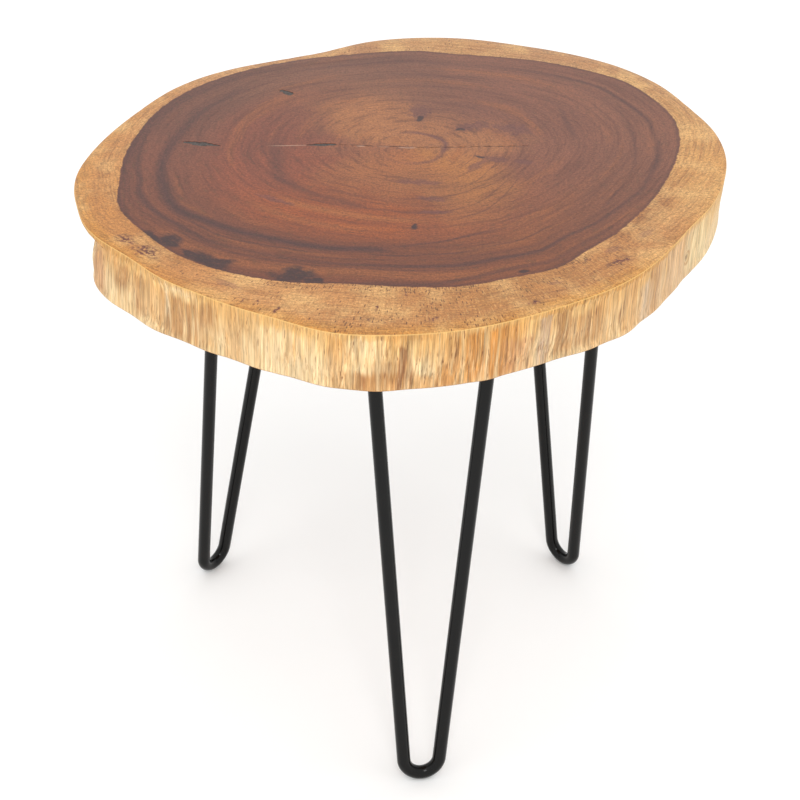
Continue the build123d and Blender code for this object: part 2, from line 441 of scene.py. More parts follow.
top_middle = (PITH.x, PITH.y, SLAB_HIGH.z)
slab = new_piece("trunk_round", *closed_skin(slab_rings(), top_middle, (0, 0, SLAB_LOW.z)))
print("Slab has", len(slab.data.polygons), "faces")

# %% [markdown]
# ## Cracks
# As the round dried it opened in three short cracks, which were filled with dark resin, and a hairline
# check crosses the pith. They could be painted on. Here they are cut out of the slab with a Boolean, so
# light falls into them, and each filler is a sliver of its own that lies a little below the lacquer. A
# crack keeps part of its packed pocket's length, and its widths are shares of the pocket's width.

# %% Slivers for the cracks
CRACK_DEPTH = 9.0 * MM
FILL_SINK = 0.25 * MM
FILL_CLEARANCE = 0.04 * MM
CUT_ABOVE = 1.0 * MM
CRACKS = {
    "centre_check_fill": {
        "widths": (0.5, 0.9, 1.4, 2.0, 2.3, 1.8, 1.6, 0.6), "wander": 0.4 * MM, "kept": (0.02, 0.93),
    },
    "rear_crack_fill": {
        "widths": (1.0, 1.7, 1.6, 2.2, 2.5, 2.4, 2.6, 1.6), "wander": 0.45 * MM, "kept": (0.1, 0.82),
    },
    "left_crack_fill": {
        "widths": (0.7, 1.3, 1.9, 2.1, 2.2, 1.5, 0.9, 0.4), "wander": 0.9 * MM, "kept": (0.03, 0.97),
    },
}
POINTS_PER_WIDTH = 3
LEAST_WIDTH, WIDTH_SWING = 0.85, 0.3
TIP_HALF_WIDTH = 0.12 * MM


def crack_line(node_name):
    """Ends of a packed crack filler, and its width, from its own points."""
    places = np.array([vertex.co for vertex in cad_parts[node_name].data.vertices])[:, :2]
    far = max(range(len(places)), key=lambda index: places[index][0])
    near = min(range(len(places)), key=lambda index: places[index][0])
    start, end = places[near], places[far]
    along = (end - start) / np.linalg.norm(end - start)
    off = (places - start) @ np.array([-along[1], along[0]])
    return start, end, off.max() - off.min()


def sliver(name, line, half_widths, low, high):
    """Closed upright sliver along a line of places, with a half width at each of them."""
    line = np.array(line)
    along = np.gradient(line, axis=0)
    along /= np.linalg.norm(along, axis=1)[:, None]
    sideways = np.stack([-along[:, 1], along[:, 0]], axis=1) * np.array(half_widths)[:, None]
    outline = np.concatenate([line - sideways, (line + sideways)[::-1]])
    count = len(outline)
    levels = [np.column_stack([outline, np.full(count, height)]) for height in (low, high)]
    faces = [list(range(count))[::-1], list(range(count, 2 * count))]
    faces += [[a, (a + 1) % count, (a + 1) % count + count, a + count] for a in range(count)]
    return new_piece(name, np.concatenate(levels), faces)


def ragged_line(random, start, end, steps, wander):
    """Places from start to end that stray sideways by up to wander, and not at all at the ends."""
    share = np.linspace(0, 1, steps)
    across = np.array([start[1] - end[1], end[0] - start[0]])
    across = across / np.linalg.norm(across)
    stray = (random.random(steps) - 0.5) * 2 * wander * np.sin(math.pi * share)
    return start + np.outer(share, end - start) + np.outer(stray, across)


random = np.random.default_rng(SEED + 1)
fills, cutters = [], []
for node_name, crack in CRACKS.items():
    start, end, width = crack_line(node_name)
    start, end = [start + kept * (end - start) for kept in crack["kept"]]
    steps = len(crack["widths"]) * POINTS_PER_WIDTH
    line = ragged_line(random, start, end, steps, crack["wander"])
    coarse = np.linspace(0, 1, len(crack["widths"]))
    shares = np.interp(np.linspace(0, 1, steps), coarse, crack["widths"])
    half = width / 2 * shares * (LEAST_WIDTH + WIDTH_SWING * random.random(steps))
    half[0] = half[-1] = TIP_HALF_WIDTH
    low, high = SLAB_HIGH.z - CRACK_DEPTH, SLAB_HIGH.z
    fills.append(sliver(node_name + "_sliver", line, half, low, high - FILL_SINK))
    cutters.append(sliver("cutter", line, half + FILL_CLEARANCE, low - FILL_CLEARANCE, high + CUT_ABOVE))
    print(node_name, "is", round(np.linalg.norm(end - start) * 1000, 1), "mm long")

# %% [markdown]
# The hairline check runs from the centre crack through the pith and on to the right. It fades in places,
# so it is cut as a row of short slim grooves rather than one long one.

# %% Hairline check
CHECK_PLACES = ((-55.0, 32.2), (-26.0, 32.4), (4.5, 33.4), (38.0, 37.8), (68.0, 42.6), (97.0, 46.7))
CHECK_SEGMENTS = 15
CHECK_FILLED_SHARE = 0.8
CHECK_HALF_WIDTH = 0.26 * MM
CHECK_DEPTH = 0.8 * MM
CHECK_WANDER = 0.25 * MM
CHECK_PROFILE = (0.2, 0.7, 1.0, 0.8, 1.1, 0.7, 0.2)
CHECK_LEAST_WIDTH = 0.6
route = np.array(CHECK_PLACES) * MM
for segment in range(CHECK_SEGMENTS):
    shares = np.array([segment, segment + CHECK_FILLED_SHARE]) / CHECK_SEGMENTS * (len(route) - 1)
    ends = [[np.interp(share, range(len(route)), route[:, axis]) for axis in (0, 1)] for share in shares]
    line = ragged_line(random, np.array(ends[0]), np.array(ends[1]), len(CHECK_PROFILE), CHECK_WANDER)
    half = CHECK_HALF_WIDTH * np.array(CHECK_PROFILE) * (CHECK_LEAST_WIDTH + random.random())
    cutters.append(sliver("cutter", line, half, SLAB_HIGH.z - CHECK_DEPTH, SLAB_HIGH.z + CUT_ABOVE))
print("Check is cut in", CHECK_SEGMENTS, "grooves")

# %% [markdown]
# ## Where the legs stand
# Each leg is a V of round bar with a U at the floor. It leans outwards and is turned on its own, so its
# plane is worked out first: one axis along the V's width and one up the V. The bar's ends, the plate
# between them and the screws all follow from that plane, and are kept for the steps that need them.

# %% Planes of the hairpins
ROD_DIAMETER = 11.0 * MM
ROD_RADIUS = ROD_DIAMETER / 2
U_BEND_RADIUS = 14.7 * MM
ROD_SPREAD = 93.5 * MM
FOOT_CIRCLE_RADIUS = 189.0 * MM
FOOT_CIRCLE_MIDDLE = Vector((8.2, -1.4, 0)) * MM
PLATE_THICKNESS = 4.0 * MM
PLATE_UNDERSIDE = SLAB_LOW.z - PLATE_THICKNESS
LEGS = {
    "left": {"foot": 155.3, "facing": 145.4, "outward_lean": 6.55, "side_lean": 0.4},
    "front": {"foot": -82.3, "facing": -78.4, "outward_lean": 6.95, "side_lean": 0.0},
    "right": {"foot": 36.8, "facing": 41.6, "outward_lean": 6.25, "side_lean": 0.3},
}


def hairpin_lines(leg):
    """Where a leg's bar meets the plate, both ends, and the corner where its two sides would meet."""
    foot, facing, lean, side_lean = (
        math.radians(leg[key]) for key in ("foot", "facing", "outward_lean", "side_lean")
    )
    outwards = Vector((math.cos(facing) * math.cos(lean), math.sin(facing) * math.cos(lean), math.sin(lean)))
    across = Vector((-math.sin(facing), math.cos(facing), 0))
    up_the_v = outwards.cross(across)
    bend_bottom = FOOT_CIRCLE_MIDDLE + Vector((math.cos(foot), math.sin(foot), 0)) * FOOT_CIRCLE_RADIUS
    bend_bottom.z = ROD_RADIUS
    middle = bend_bottom + up_the_v * U_BEND_RADIUS
    wide = across * math.cos(side_lean) + up_the_v * math.sin(side_lean)
    tall = up_the_v * math.cos(side_lean) - across * math.sin(side_lean)
    rise = (PLATE_UNDERSIDE - middle.z) / math.cos(lean)
    half = ROD_SPREAD / 2
    tangent = math.atan2(rise, half) - math.acos(U_BEND_RADIUS / math.hypot(half, rise))
    low_x, low_y = U_BEND_RADIUS * math.cos(tangent), U_BEND_RADIUS * math.sin(tangent)
    slope = (rise - low_y) / (half - low_x)
    corner = middle + tall * (low_y - low_x * slope)
    ends = []
    for side in (-1, 1):
        along = (wide * side * half + tall * rise - (corner - middle)).normalized()
        ends.append(corner + along * ((PLATE_UNDERSIDE - corner.z) / along.z))
    return ends, corner


hairpins = {name: hairpin_lines(leg) for name, leg in LEGS.items()}
for name, (ends, corner) in hairpins.items():
    print(name, "leg's ends are", round((ends[0] - ends[1]).length * 1000, 1), "mm apart")

# %% Places of the plates and screws
PLATE_LENGTH = 124.0 * MM
PLATE_WIDTH = 62.0 * MM
PLATE_CORNER_RADIUS = 8.0 * MM
SCREW_EDGE_DISTANCE = 11.5 * MM
PLATE_HOLE_RADIUS = 2.75 * MM
SCREW_RADIUS = 2.4 * MM
SCREW_LENGTH = 25.0 * MM
PILOT_RADIUS = 2.45 * MM
PILOT_DEPTH = 27.0 * MM


def plate_frame(ends):
    """Matrix of a plate: origin on its underside between the rod ends, X along its length."""
    long_way = (ends[1] - ends[0]).normalized()
    short_way = Vector((0, 0, 1)).cross(long_way)
    turn = Matrix((long_way, short_way, (0, 0, 1))).transposed().to_4x4()
    return Matrix.Translation((ends[0] + ends[1]) / 2) @ turn


def screw_places(ends):
    """The four screws of a plate, on its underside."""
    x = PLATE_LENGTH / 2 - SCREW_EDGE_DISTANCE
    y = PLATE_WIDTH / 2 - SCREW_EDGE_DISTANCE
    return [plate_frame(ends) @ Vector((a * x, b * y, 0)) for a in (-1, 1) for b in (-1, 1)]


print("Screws per plate:", len(screw_places(hairpins["front"][0])))

# %% [markdown]
# ## Cutting the slab
# The crack pockets, the hairline check and the pilot holes for the screws are taken out in one Boolean.
# The manifold solver is used because every cutter is closed, and it stays quick on a fine mesh.

# %% Cut cracks and pilot holes
PILOT_SIDES = 32


def made_of(shape, name):
    """New object from a mesh that is being edited, which ends the edit."""
    mesh = bpy.data.meshes.new(name)
    shape.to_mesh(mesh)
    shape.free()
    return linked(name, mesh)


def pilot_cutter(place):
    """Closed round cutter that reaches from below the slab up to the pilot hole's blind end."""
    shape = bmesh.new()
    height = PILOT_DEPTH + PLATE_THICKNESS
    bmesh.ops.create_cone(
        shape, cap_ends=True, segments=PILOT_SIDES, radius1=PILOT_RADIUS, radius2=PILOT_RADIUS, depth=height,
        matrix=Matrix.Translation(place + Vector((0, 0, height / 2 - PLATE_THICKNESS))),
    )
    return made_of(shape, "cutter")


def remove(piece):
    """Takes an object and its mesh out of the file."""
    mesh = piece.data
    bpy.data.objects.remove(piece)
    bpy.data.meshes.remove(mesh)


def joined(pieces):
    """One object that holds the meshes of several, which are removed."""
    shape = bmesh.new()
    for piece in pieces:
        shape.from_mesh(piece.data)
        remove(piece)
    bmesh.ops.recalc_face_normals(shape, faces=shape.faces)
    return made_of(shape, "joined")


def evaluated_mesh(piece, name):
    """Plain copy of an object's mesh with its modifiers applied."""
    bpy.context.view_layer.update()
    result = piece.evaluated_get(bpy.context.evaluated_depsgraph_get())
    mesh = bpy.data.meshes.new_from_object(result)
    mesh.name = name
    return mesh


def cut(piece, cutter):
    """Takes a closed cutter out of a closed piece."""
    modifier = piece.modifiers.new("cut", "BOOLEAN")
    modifier.operation = "DIFFERENCE"
    modifier.solver = "MANIFOLD"
    modifier.object = cutter
    mesh = evaluated_mesh(piece, piece.name)
    piece.modifiers.clear()
    piece.data = mesh
    remove(cutter)


cutters += [pilot_cutter(place) for ends, corner in hairpins.values() for place in screw_places(ends)]
faces_before = len(slab.data.polygons)
cut(slab, joined(cutters))
print("Slab went from", faces_before, "to", len(slab.data.polygons), "faces")

# %% [markdown]
# ## What the wood knows about itself
# The pattern on the top follows the tree, not the table: rings round the pith, and the line where the red
# heartwood meets the yellow sapwood, which bulges to the left. The shader could work this out, but it is
# simpler to let every point of the mesh carry three numbers: how far out it lies as a share of the heart,
# how far past the heart it is, and how far inside the rim. Near the pith the rings are round, and they
# take on the heart's own outline as they near it.

# %% Numbers carried by the slab's points
HEART_RADII = np.array((
    207, 216, 224, 226, 226, 216, 206, 195, 188, 188, 185, 183, 186, 190, 196, 202, 208, 213,
    218, 226, 235, 248, 250, 252, 247, 237, 225, 222, 221, 215, 213, 203, 199, 196, 197, 200,
)) * MM


def heart_radius(around):
    """Radius of the heartwood about the pith in a direction, smooth through the measured ones."""
    place = around / FULL_TURN * len(HEART_RADII)
    step = np.floor(place).astype(int)
    t = place - step
    a, b, c, d = (HEART_RADII[(step + k) % len(HEART_RADII)] for k in (-1, 0, 1, 2))
    return b + t * (c - a + t * (2 * a - 5 * b + 4 * c - d + t * (3 * b - 3 * c + d - a))) / 2


def carry(mesh, name, values):
    """Stores one number for each point of a mesh."""
    mesh.attributes.new(name, "FLOAT", "POINT").data.foreach_set("value", np.asarray(values, np.float32))


def describe_wood(mesh):
    """Gives a slab mesh the numbers that its finishes read."""
    places = np.zeros(len(mesh.vertices) * 3, np.float32)
    mesh.vertices.foreach_get("co", places)
    places = places.reshape(-1, 3).astype(float)
    from_pith = places[:, :2] - np.array(PITH)[:2]
    distance = np.hypot(from_pith[:, 0], from_pith[:, 1])
    heart = heart_radius(np.arctan2(from_pith[:, 1], from_pith[:, 0]) % FULL_TURN)
    nearness = eased(np.clip(distance / heart, 0, 1))
    shaped = HEART_RADII.mean() * (1 - nearness) + heart * nearness
    carry(mesh, "ring_share", distance / shaped)
    carry(mesh, "past_heart", distance - heart)
    around = np.arctan2(places[:, 1], places[:, 0]) % FULL_TURN
    rim = np.interp(around, directions, rim_outline, period=FULL_TURN)
    carry(mesh, "inside_rim", rim - np.hypot(places[:, 0], places[:, 1]))
    return distance / shaped


ring_share = describe_wood(slab.data)
print("Ring share runs to", round(float(ring_share.max()), 3), "at the rim")

# %% [markdown]
# ## Colour of the cross-cut wood
# This is the heart of the picture. The same colours serve the lacquered top and the bare underside, so
# they are made in one node group. It lays the tones down as the tree did: a tan middle, red-brown heart,
# dark bands where growth was slow, hundreds of fine rings, then yellow sapwood with open pores. No ring
# is the same all the way round. So each band has a route: a few directions round the pith, how far out
# the band lies there as a share of the heart, and how strong it is. A float curve reads such a route.

# %% Routes and bands round the pith
def by_direction(tree, turn, route):
    """Number that follows a route of (degrees, number) round the pith and closes on itself."""
    degrees, numbers = zip(*route)
    at_start = float(np.interp(0, degrees, numbers, period=360))
    points = sorted((place % 360 / 360, number) for place, number in route if place % 360)
    curve = tree.nodes.new("ShaderNodeFloatCurve")
    line = curve.mapping.curves[0]
    line.points[0].location = (0, at_start)
    line.points[1].location = (1, at_start)
    for place, number in points:
        line.points.new(place, number)
    for point in line.points:
        point.handle_type = "AUTO_CLAMPED"
    curve.mapping.update()
    tree.links.new(turn, curve.inputs["Value"])
    return curve.outputs["Value"]


def tone_by_direction(tree, turn, tones):
    """Colour that goes through a list of (degrees, red, green, blue) and closes on itself."""
    ramp = tree.nodes.new("ShaderNodeValToRGB")
    stops = ramp.color_ramp.elements
    stops[0].position, stops[1].position = 0, 1
    stops[0].color = stops[1].color = tint(*tones[0][1:])
    for degrees, *colour in tones[1:]:
        stops.new(degrees / 360).color = tint(*colour)
    tree.links.new(turn, ramp.inputs["Fac"])
    return ramp.outputs["Color"]


def band(tree, value, middle, half_width):
    """1 where a value is at the middle of a band, falling softly to 0 at its edges."""
    off = maths(tree, "ABSOLUTE", maths(tree, "SUBTRACT", value, middle))
    return soft_step(tree, off, 0.0, half_width, 1.0, 0.0)


def routed_band(tree, turn, share, half_width, route):
    """Band that keeps to a route of (degrees, share of the heart, strength) round the pith."""
    middle = by_direction(tree, turn, [(degrees, middle) for degrees, middle, strength in route])
    strength = by_direction(tree, turn, [(degrees, strength) for degrees, middle, strength in route])
    return product(tree, band(tree, share, middle, half_width), strength)


def strongest(tree, shares):
    """The greatest of several numbers, joined one by one as they are made."""
    result = 0.0
    for share in shares:
        result = maths(tree, "MAXIMUM", result, share)
    return result


print("Routes and bands are ready")

# %% [markdown]
# A knot, a blotch or a stain is an oval with a torn edge. All of them are one small node group: a noise
# pushes the place about, the place is measured along and across the oval, and the mark is where that
# measure stays under 1. A taper makes the oval wider at one end.

# %% Ragged mark
MARK_CORE = 0.45
NARROWEST = 0.1


def mark_group():
    """Node group for a ragged mark on the wood, such as a knot: 1 inside it and 0 outside."""
    tree = bpy.data.node_groups.new("ragged mark", "ShaderNodeTree")
    for name in ("Place", "Stray", "Wobble", "Middle", "Along", "Across"):
        tree.interface.new_socket(name=name, in_out="INPUT", socket_type="NodeSocketVector")
    tree.interface.new_socket(name="Taper", in_out="INPUT", socket_type="NodeSocketFloat")
    tree.interface.new_socket(name="Mark", in_out="OUTPUT", socket_type="NodeSocketFloat")
    given = tree.nodes.new("NodeGroupInput").outputs
    pushed = vector_maths(tree, "MULTIPLY", given["Stray"], given["Wobble"])
    strayed = vector_maths(tree, "ADD", given["Place"], pushed)
    off = vector_maths(tree, "SUBTRACT", strayed, given["Middle"])
    along = vector_maths(tree, "DOT_PRODUCT", off, given["Along"])
    across = vector_maths(tree, "DOT_PRODUCT", off, given["Across"])
    wider = maths(tree, "MAXIMUM", maths(tree, "MULTIPLY_ADD", along, given["Taper"], 1.0), NARROWEST)
    across = maths(tree, "DIVIDE", across, wider)
    squared = maths(tree, "MULTIPLY_ADD", along, along, product(tree, across, across))
    result = tree.nodes.new("NodeGroupOutput")
    reach = maths(tree, "SQRT", squared)
    tree.links.new(soft_step(tree, reach, MARK_CORE, 1.0, 1.0, 0.0), result.inputs["Mark"])
    return tree


RAGGED_MARK = mark_group()


def mark(tree, place, stray, x, y, turn, length, width, taper=0.0):
    """Ragged mark, its middle and size in millimetres, its length turned from +X by some degrees."""
    half_length, half_width = length / 2 * MM, width / 2 * MM
    angle = math.radians(turn)
    inputs = {
        "Place": place, "Stray": stray, "Wobble": (half_width, half_width, 0),
        "Middle": (x * MM, y * MM, 0), "Taper": taper,
        "Along": (math.cos(angle) / half_length, math.sin(angle) / half_length, 0),
        "Across": (-math.sin(angle) / half_width, math.cos(angle) / half_width, 0),
    }
    return node(tree, "ShaderNodeGroup", inputs, node_tree=RAGGED_MARK).outputs[0]


print("Ragged mark has", len(RAGGED_MARK.nodes), "nodes")

# %% [markdown]
# ## Where a point lies in the tree
# The pattern asks two things of every point: its direction from the pith, as a share of a full turn, and
# how far out along the rings it lies. Both sway a little with a soft noise, because nothing in a tree is
# drawn with compasses. Fine rings also drift inwards on one side, where they cross the broad bands.

# %% Direction and ring
SWAY_SCALE = 14
SWAY_OF_TURN = 0.1
SWAY_OF_RINGS = 0.03
DRIFT_STARTS, DRIFT_FULL = 0.1, 0.5
RING_DRIFT = (
    (0, 0.01), (20, 0), (190, 0), (200, 0.02), (210, 0.04), (220, 0.06), (230, 0.08), (240, 0.1),
    (265, 0.095), (295, 0.085), (320, 0.065), (335, 0.045), (350, 0.025),
)


def share_of_turn(tree, angle):
    """Angle as a share of a full turn, from 0 to 1."""
    return maths(tree, "FRACT", maths(tree, "MULTIPLY_ADD", angle, 1 / FULL_TURN, 1.0))


tree = bpy.data.node_groups.new("cross-cut wood", "ShaderNodeTree")
tree.interface.new_socket(name="Colour", in_out="OUTPUT", socket_type="NodeSocketColor")
tree.interface.new_socket(name="Height", in_out="OUTPUT", socket_type="NodeSocketFloat")
flat = vector_maths(tree, "MULTIPLY", place_on_object(tree), (1, 1, 0))
from_pith = vector_maths(tree, "SUBTRACT", flat, (PITH.x, PITH.y, 0))
direction = vector_maths(tree, "NORMALIZE", from_pith)
sides = node(tree, "ShaderNodeSeparateXYZ", {0: direction}).outputs
sway = maths(tree, "SUBTRACT", noise(tree, flat, SWAY_SCALE, 3), 0.5)
angle = maths(tree, "MULTIPLY_ADD", sway, SWAY_OF_TURN, maths(tree, "ARCTAN2", sides["Y"], sides["X"]))
turn = share_of_turn(tree, angle)
share = maths(tree, "MULTIPLY_ADD", sway, SWAY_OF_RINGS, attribute(tree, "ring_share"))
drift = by_direction(tree, turn, RING_DRIFT)
drift = product(tree, drift, soft_step(tree, share, DRIFT_STARTS, DRIFT_FULL))
ring = maths(tree, "ADD", share, drift)
print("Fine rings drift by up to", max(amount for degrees, amount in RING_DRIFT), "of the heart")

# %% [markdown]
# Rings, strokes and flecks are one kind of noise. It is looked up on the direction and the ring in place
# of plain coordinates, which draws it out round the tree and squeezes it across the rings. With many
# changes round the tree and few across, the same noise gives the flecks of the rays that run outwards.

# %% Noise along the rings
RING_ROUGHNESS = 0.55


def along_the_rings(turns, distance, across):
    """Place for a noise that changes about so many times round the tree and so many times across."""
    swept = vector_maths(tree, "MULTIPLY", direction, (turns, turns, 0))
    outwards = node(tree, "ShaderNodeCombineXYZ", {"Z": product(tree, distance, across)}).outputs[0]
    return vector_maths(tree, "ADD", swept, outwards)


def ring_noise(turns, rings, detail):
    """Noise that follows the rings of the tree."""
    return noise(tree, along_the_rings(turns, ring, rings), 1.0, detail, RING_ROUGHNESS)


wide_rings = ring_noise(turns=0.9, rings=13, detail=3)
fine_rings = ring_noise(turns=2.2, rings=52, detail=4)
hair_rings = ring_noise(turns=5.0, rings=150, detail=3)
short_strokes = ring_noise(turns=26, rings=110, detail=3)
radial_flecks = ring_noise(turns=230, rings=24, detail=2)
print("Nodes so far:", len(tree.nodes))

# %% [markdown]
# Marks and bands come in lists, so two helpers lay down a whole list at once and keep the strongest at
# every place. How far a mark's edge strays from its oval comes from a coloured noise, whose red and green
# push it along X and Y.

# %% Lists of marks and bands
STRAY_SIZE = 2.0
STRAY_DETAIL = 3.0


def stray(scale):
    """How far marks are pushed out of their plain oval shape."""
    inputs = {"Vector": flat, "Scale": scale, "Detail": STRAY_DETAIL}
    colours = node(tree, "ShaderNodeTexNoise", inputs).outputs["Color"]
    parts = node(tree, "ShaderNodeSeparateColor", {0: colours}).outputs
    pushes = [maths(tree, "MULTIPLY_ADD", part, STRAY_SIZE, -STRAY_SIZE / 2) for part in (parts[0], parts[1])]
    return node(tree, "ShaderNodeCombineXYZ", {"X": pushes[0], "Y": pushes[1]}).outputs[0]


fine_stray = stray(scale=170.0)
soft_stray = stray(scale=64.0)


def marks(rules, strength, strayed=fine_stray):
    """The strongest of several marks at every place, times a strength."""
    return product(tree, strongest(tree, (mark(tree, flat, strayed, *rule) for rule in rules)), strength)


def bands(rules):
    """The strongest of several routed bands at every place."""
    return strongest(tree, (routed_band(tree, turn, share, half, route) for half, route in rules))


print("Nodes so far:", len(tree.nodes))

# %% [markdown]
# ## Heartwood
# The heart goes from tan at the pith over red-brown to a darker outer heart, and each of the three has
# tones that change with the direction. The edge of the tan middle is a route of its own and ragged. Over
# them lie a dark cloud, broad dark and golden rings, and fine brown ring lines.

# %% Heartwood
TAN_TONES = (
    (0, 160, 102, 60), (60, 160, 101, 60), (120, 166, 106, 62), (160, 164, 104, 60), (190, 148, 88, 54),
    (212, 152, 90, 50), (245, 162, 96, 50), (285, 165, 100, 50), (310, 170, 106, 50), (345, 166, 104, 54),
)
HEART_TONES = (
    (0, 128, 76, 54), (60, 126, 75, 54), (110, 130, 82, 56), (140, 132, 76, 50), (170, 134, 70, 46),
    (210, 138, 70, 42), (232, 150, 74, 30), (265, 150, 75, 28), (290, 138, 74, 38), (320, 134, 76, 46),
    (345, 130, 76, 52),
)
OUTER_TONES = (
    (0, 128, 77, 54), (60, 126, 76, 55), (110, 124, 79, 58), (150, 116, 72, 52), (190, 118, 66, 46),
    (220, 112, 60, 38), (245, 113, 59, 34), (272, 114, 60, 33), (300, 124, 67, 34), (330, 128, 74, 46),
)
DARK_BAND = tint(72, 40, 36)
GOLDEN_BAND = tint(158, 92, 44)
RING_LINE = tint(86, 44, 30)
TAN_EDGE = (
    (0, 0.35), (12, 0.38), (23, 0.34), (37, 0.32), (44, 0.25), (52, 0.28), (60, 0.31), (75, 0.28),
    (84, 0.24), (90, 0.28), (95, 0.4), (120, 0.47), (136, 0.48), (148, 0.39), (160, 0.37), (180, 0.3),
    (200, 0.29), (212, 0.36), (230, 0.41), (262, 0.39), (276, 0.39), (282, 0.51), (290, 0.56),
    (300, 0.55), (320, 0.48), (332, 0.4), (342, 0.31), (350, 0.29),
)
RAGGED_MIDDLE_SCALE = 40
RAGGED_MIDDLE = 0.24
MIDDLE_BLEND = 0.13
ragged_middle = maths(tree, "SUBTRACT", noise(tree, flat, RAGGED_MIDDLE_SCALE, 4), 0.5)
ragged_middle = product(tree, ragged_middle, RAGGED_MIDDLE)
past_middle = maths(tree, "SUBTRACT", share, by_direction(tree, turn, TAN_EDGE))
past_middle = maths(tree, "ADD", past_middle, ragged_middle)
is_heart = soft_step(tree, past_middle, -MIDDLE_BLEND, MIDDLE_BLEND)
tan = tone_by_direction(tree, turn, TAN_TONES)
heart = tone_by_direction(tree, turn, HEART_TONES)
outer = tone_by_direction(tree, turn, OUTER_TONES)
colour = blend(tree, is_heart, tan, heart)
colour = tinge(tree, colour, outer, share, start=0.62, full=0.8, most=1.0)
cloud = noise(tree, flat, scale=9, detail=2)
colour = tinge(tree, colour, DARK_BAND, cloud, start=0.4, full=0.66, most=0.22)
dark_rings = soft_step(tree, wide_rings, 0.48, 0.7)
dark_rings = product(tree, dark_rings, soft_step(tree, ring, 0.12, 0.7, at_low=0.08, at_high=0.3))
colour = blend(tree, dark_rings, colour, DARK_BAND)
colour = tinge(tree, colour, GOLDEN_BAND, wide_rings, start=0.46, full=0.3, most=0.34)
colour = tinge(tree, colour, RING_LINE, fine_rings, start=0.47, full=0.7, most=0.5)
print("Tones round the pith:", len(TAN_TONES) + len(HEART_TONES) + len(OUTER_TONES))

# %% [markdown]
# ## Bands that keep to a route
# In some years the tree grew slowly and laid down a dark band, in others a golden one. Each is drawn from
# its half width and its route: rows of a direction in degrees, how far out the band lies there and how
# strong it is. A ring close to the pith is drawn the same way.

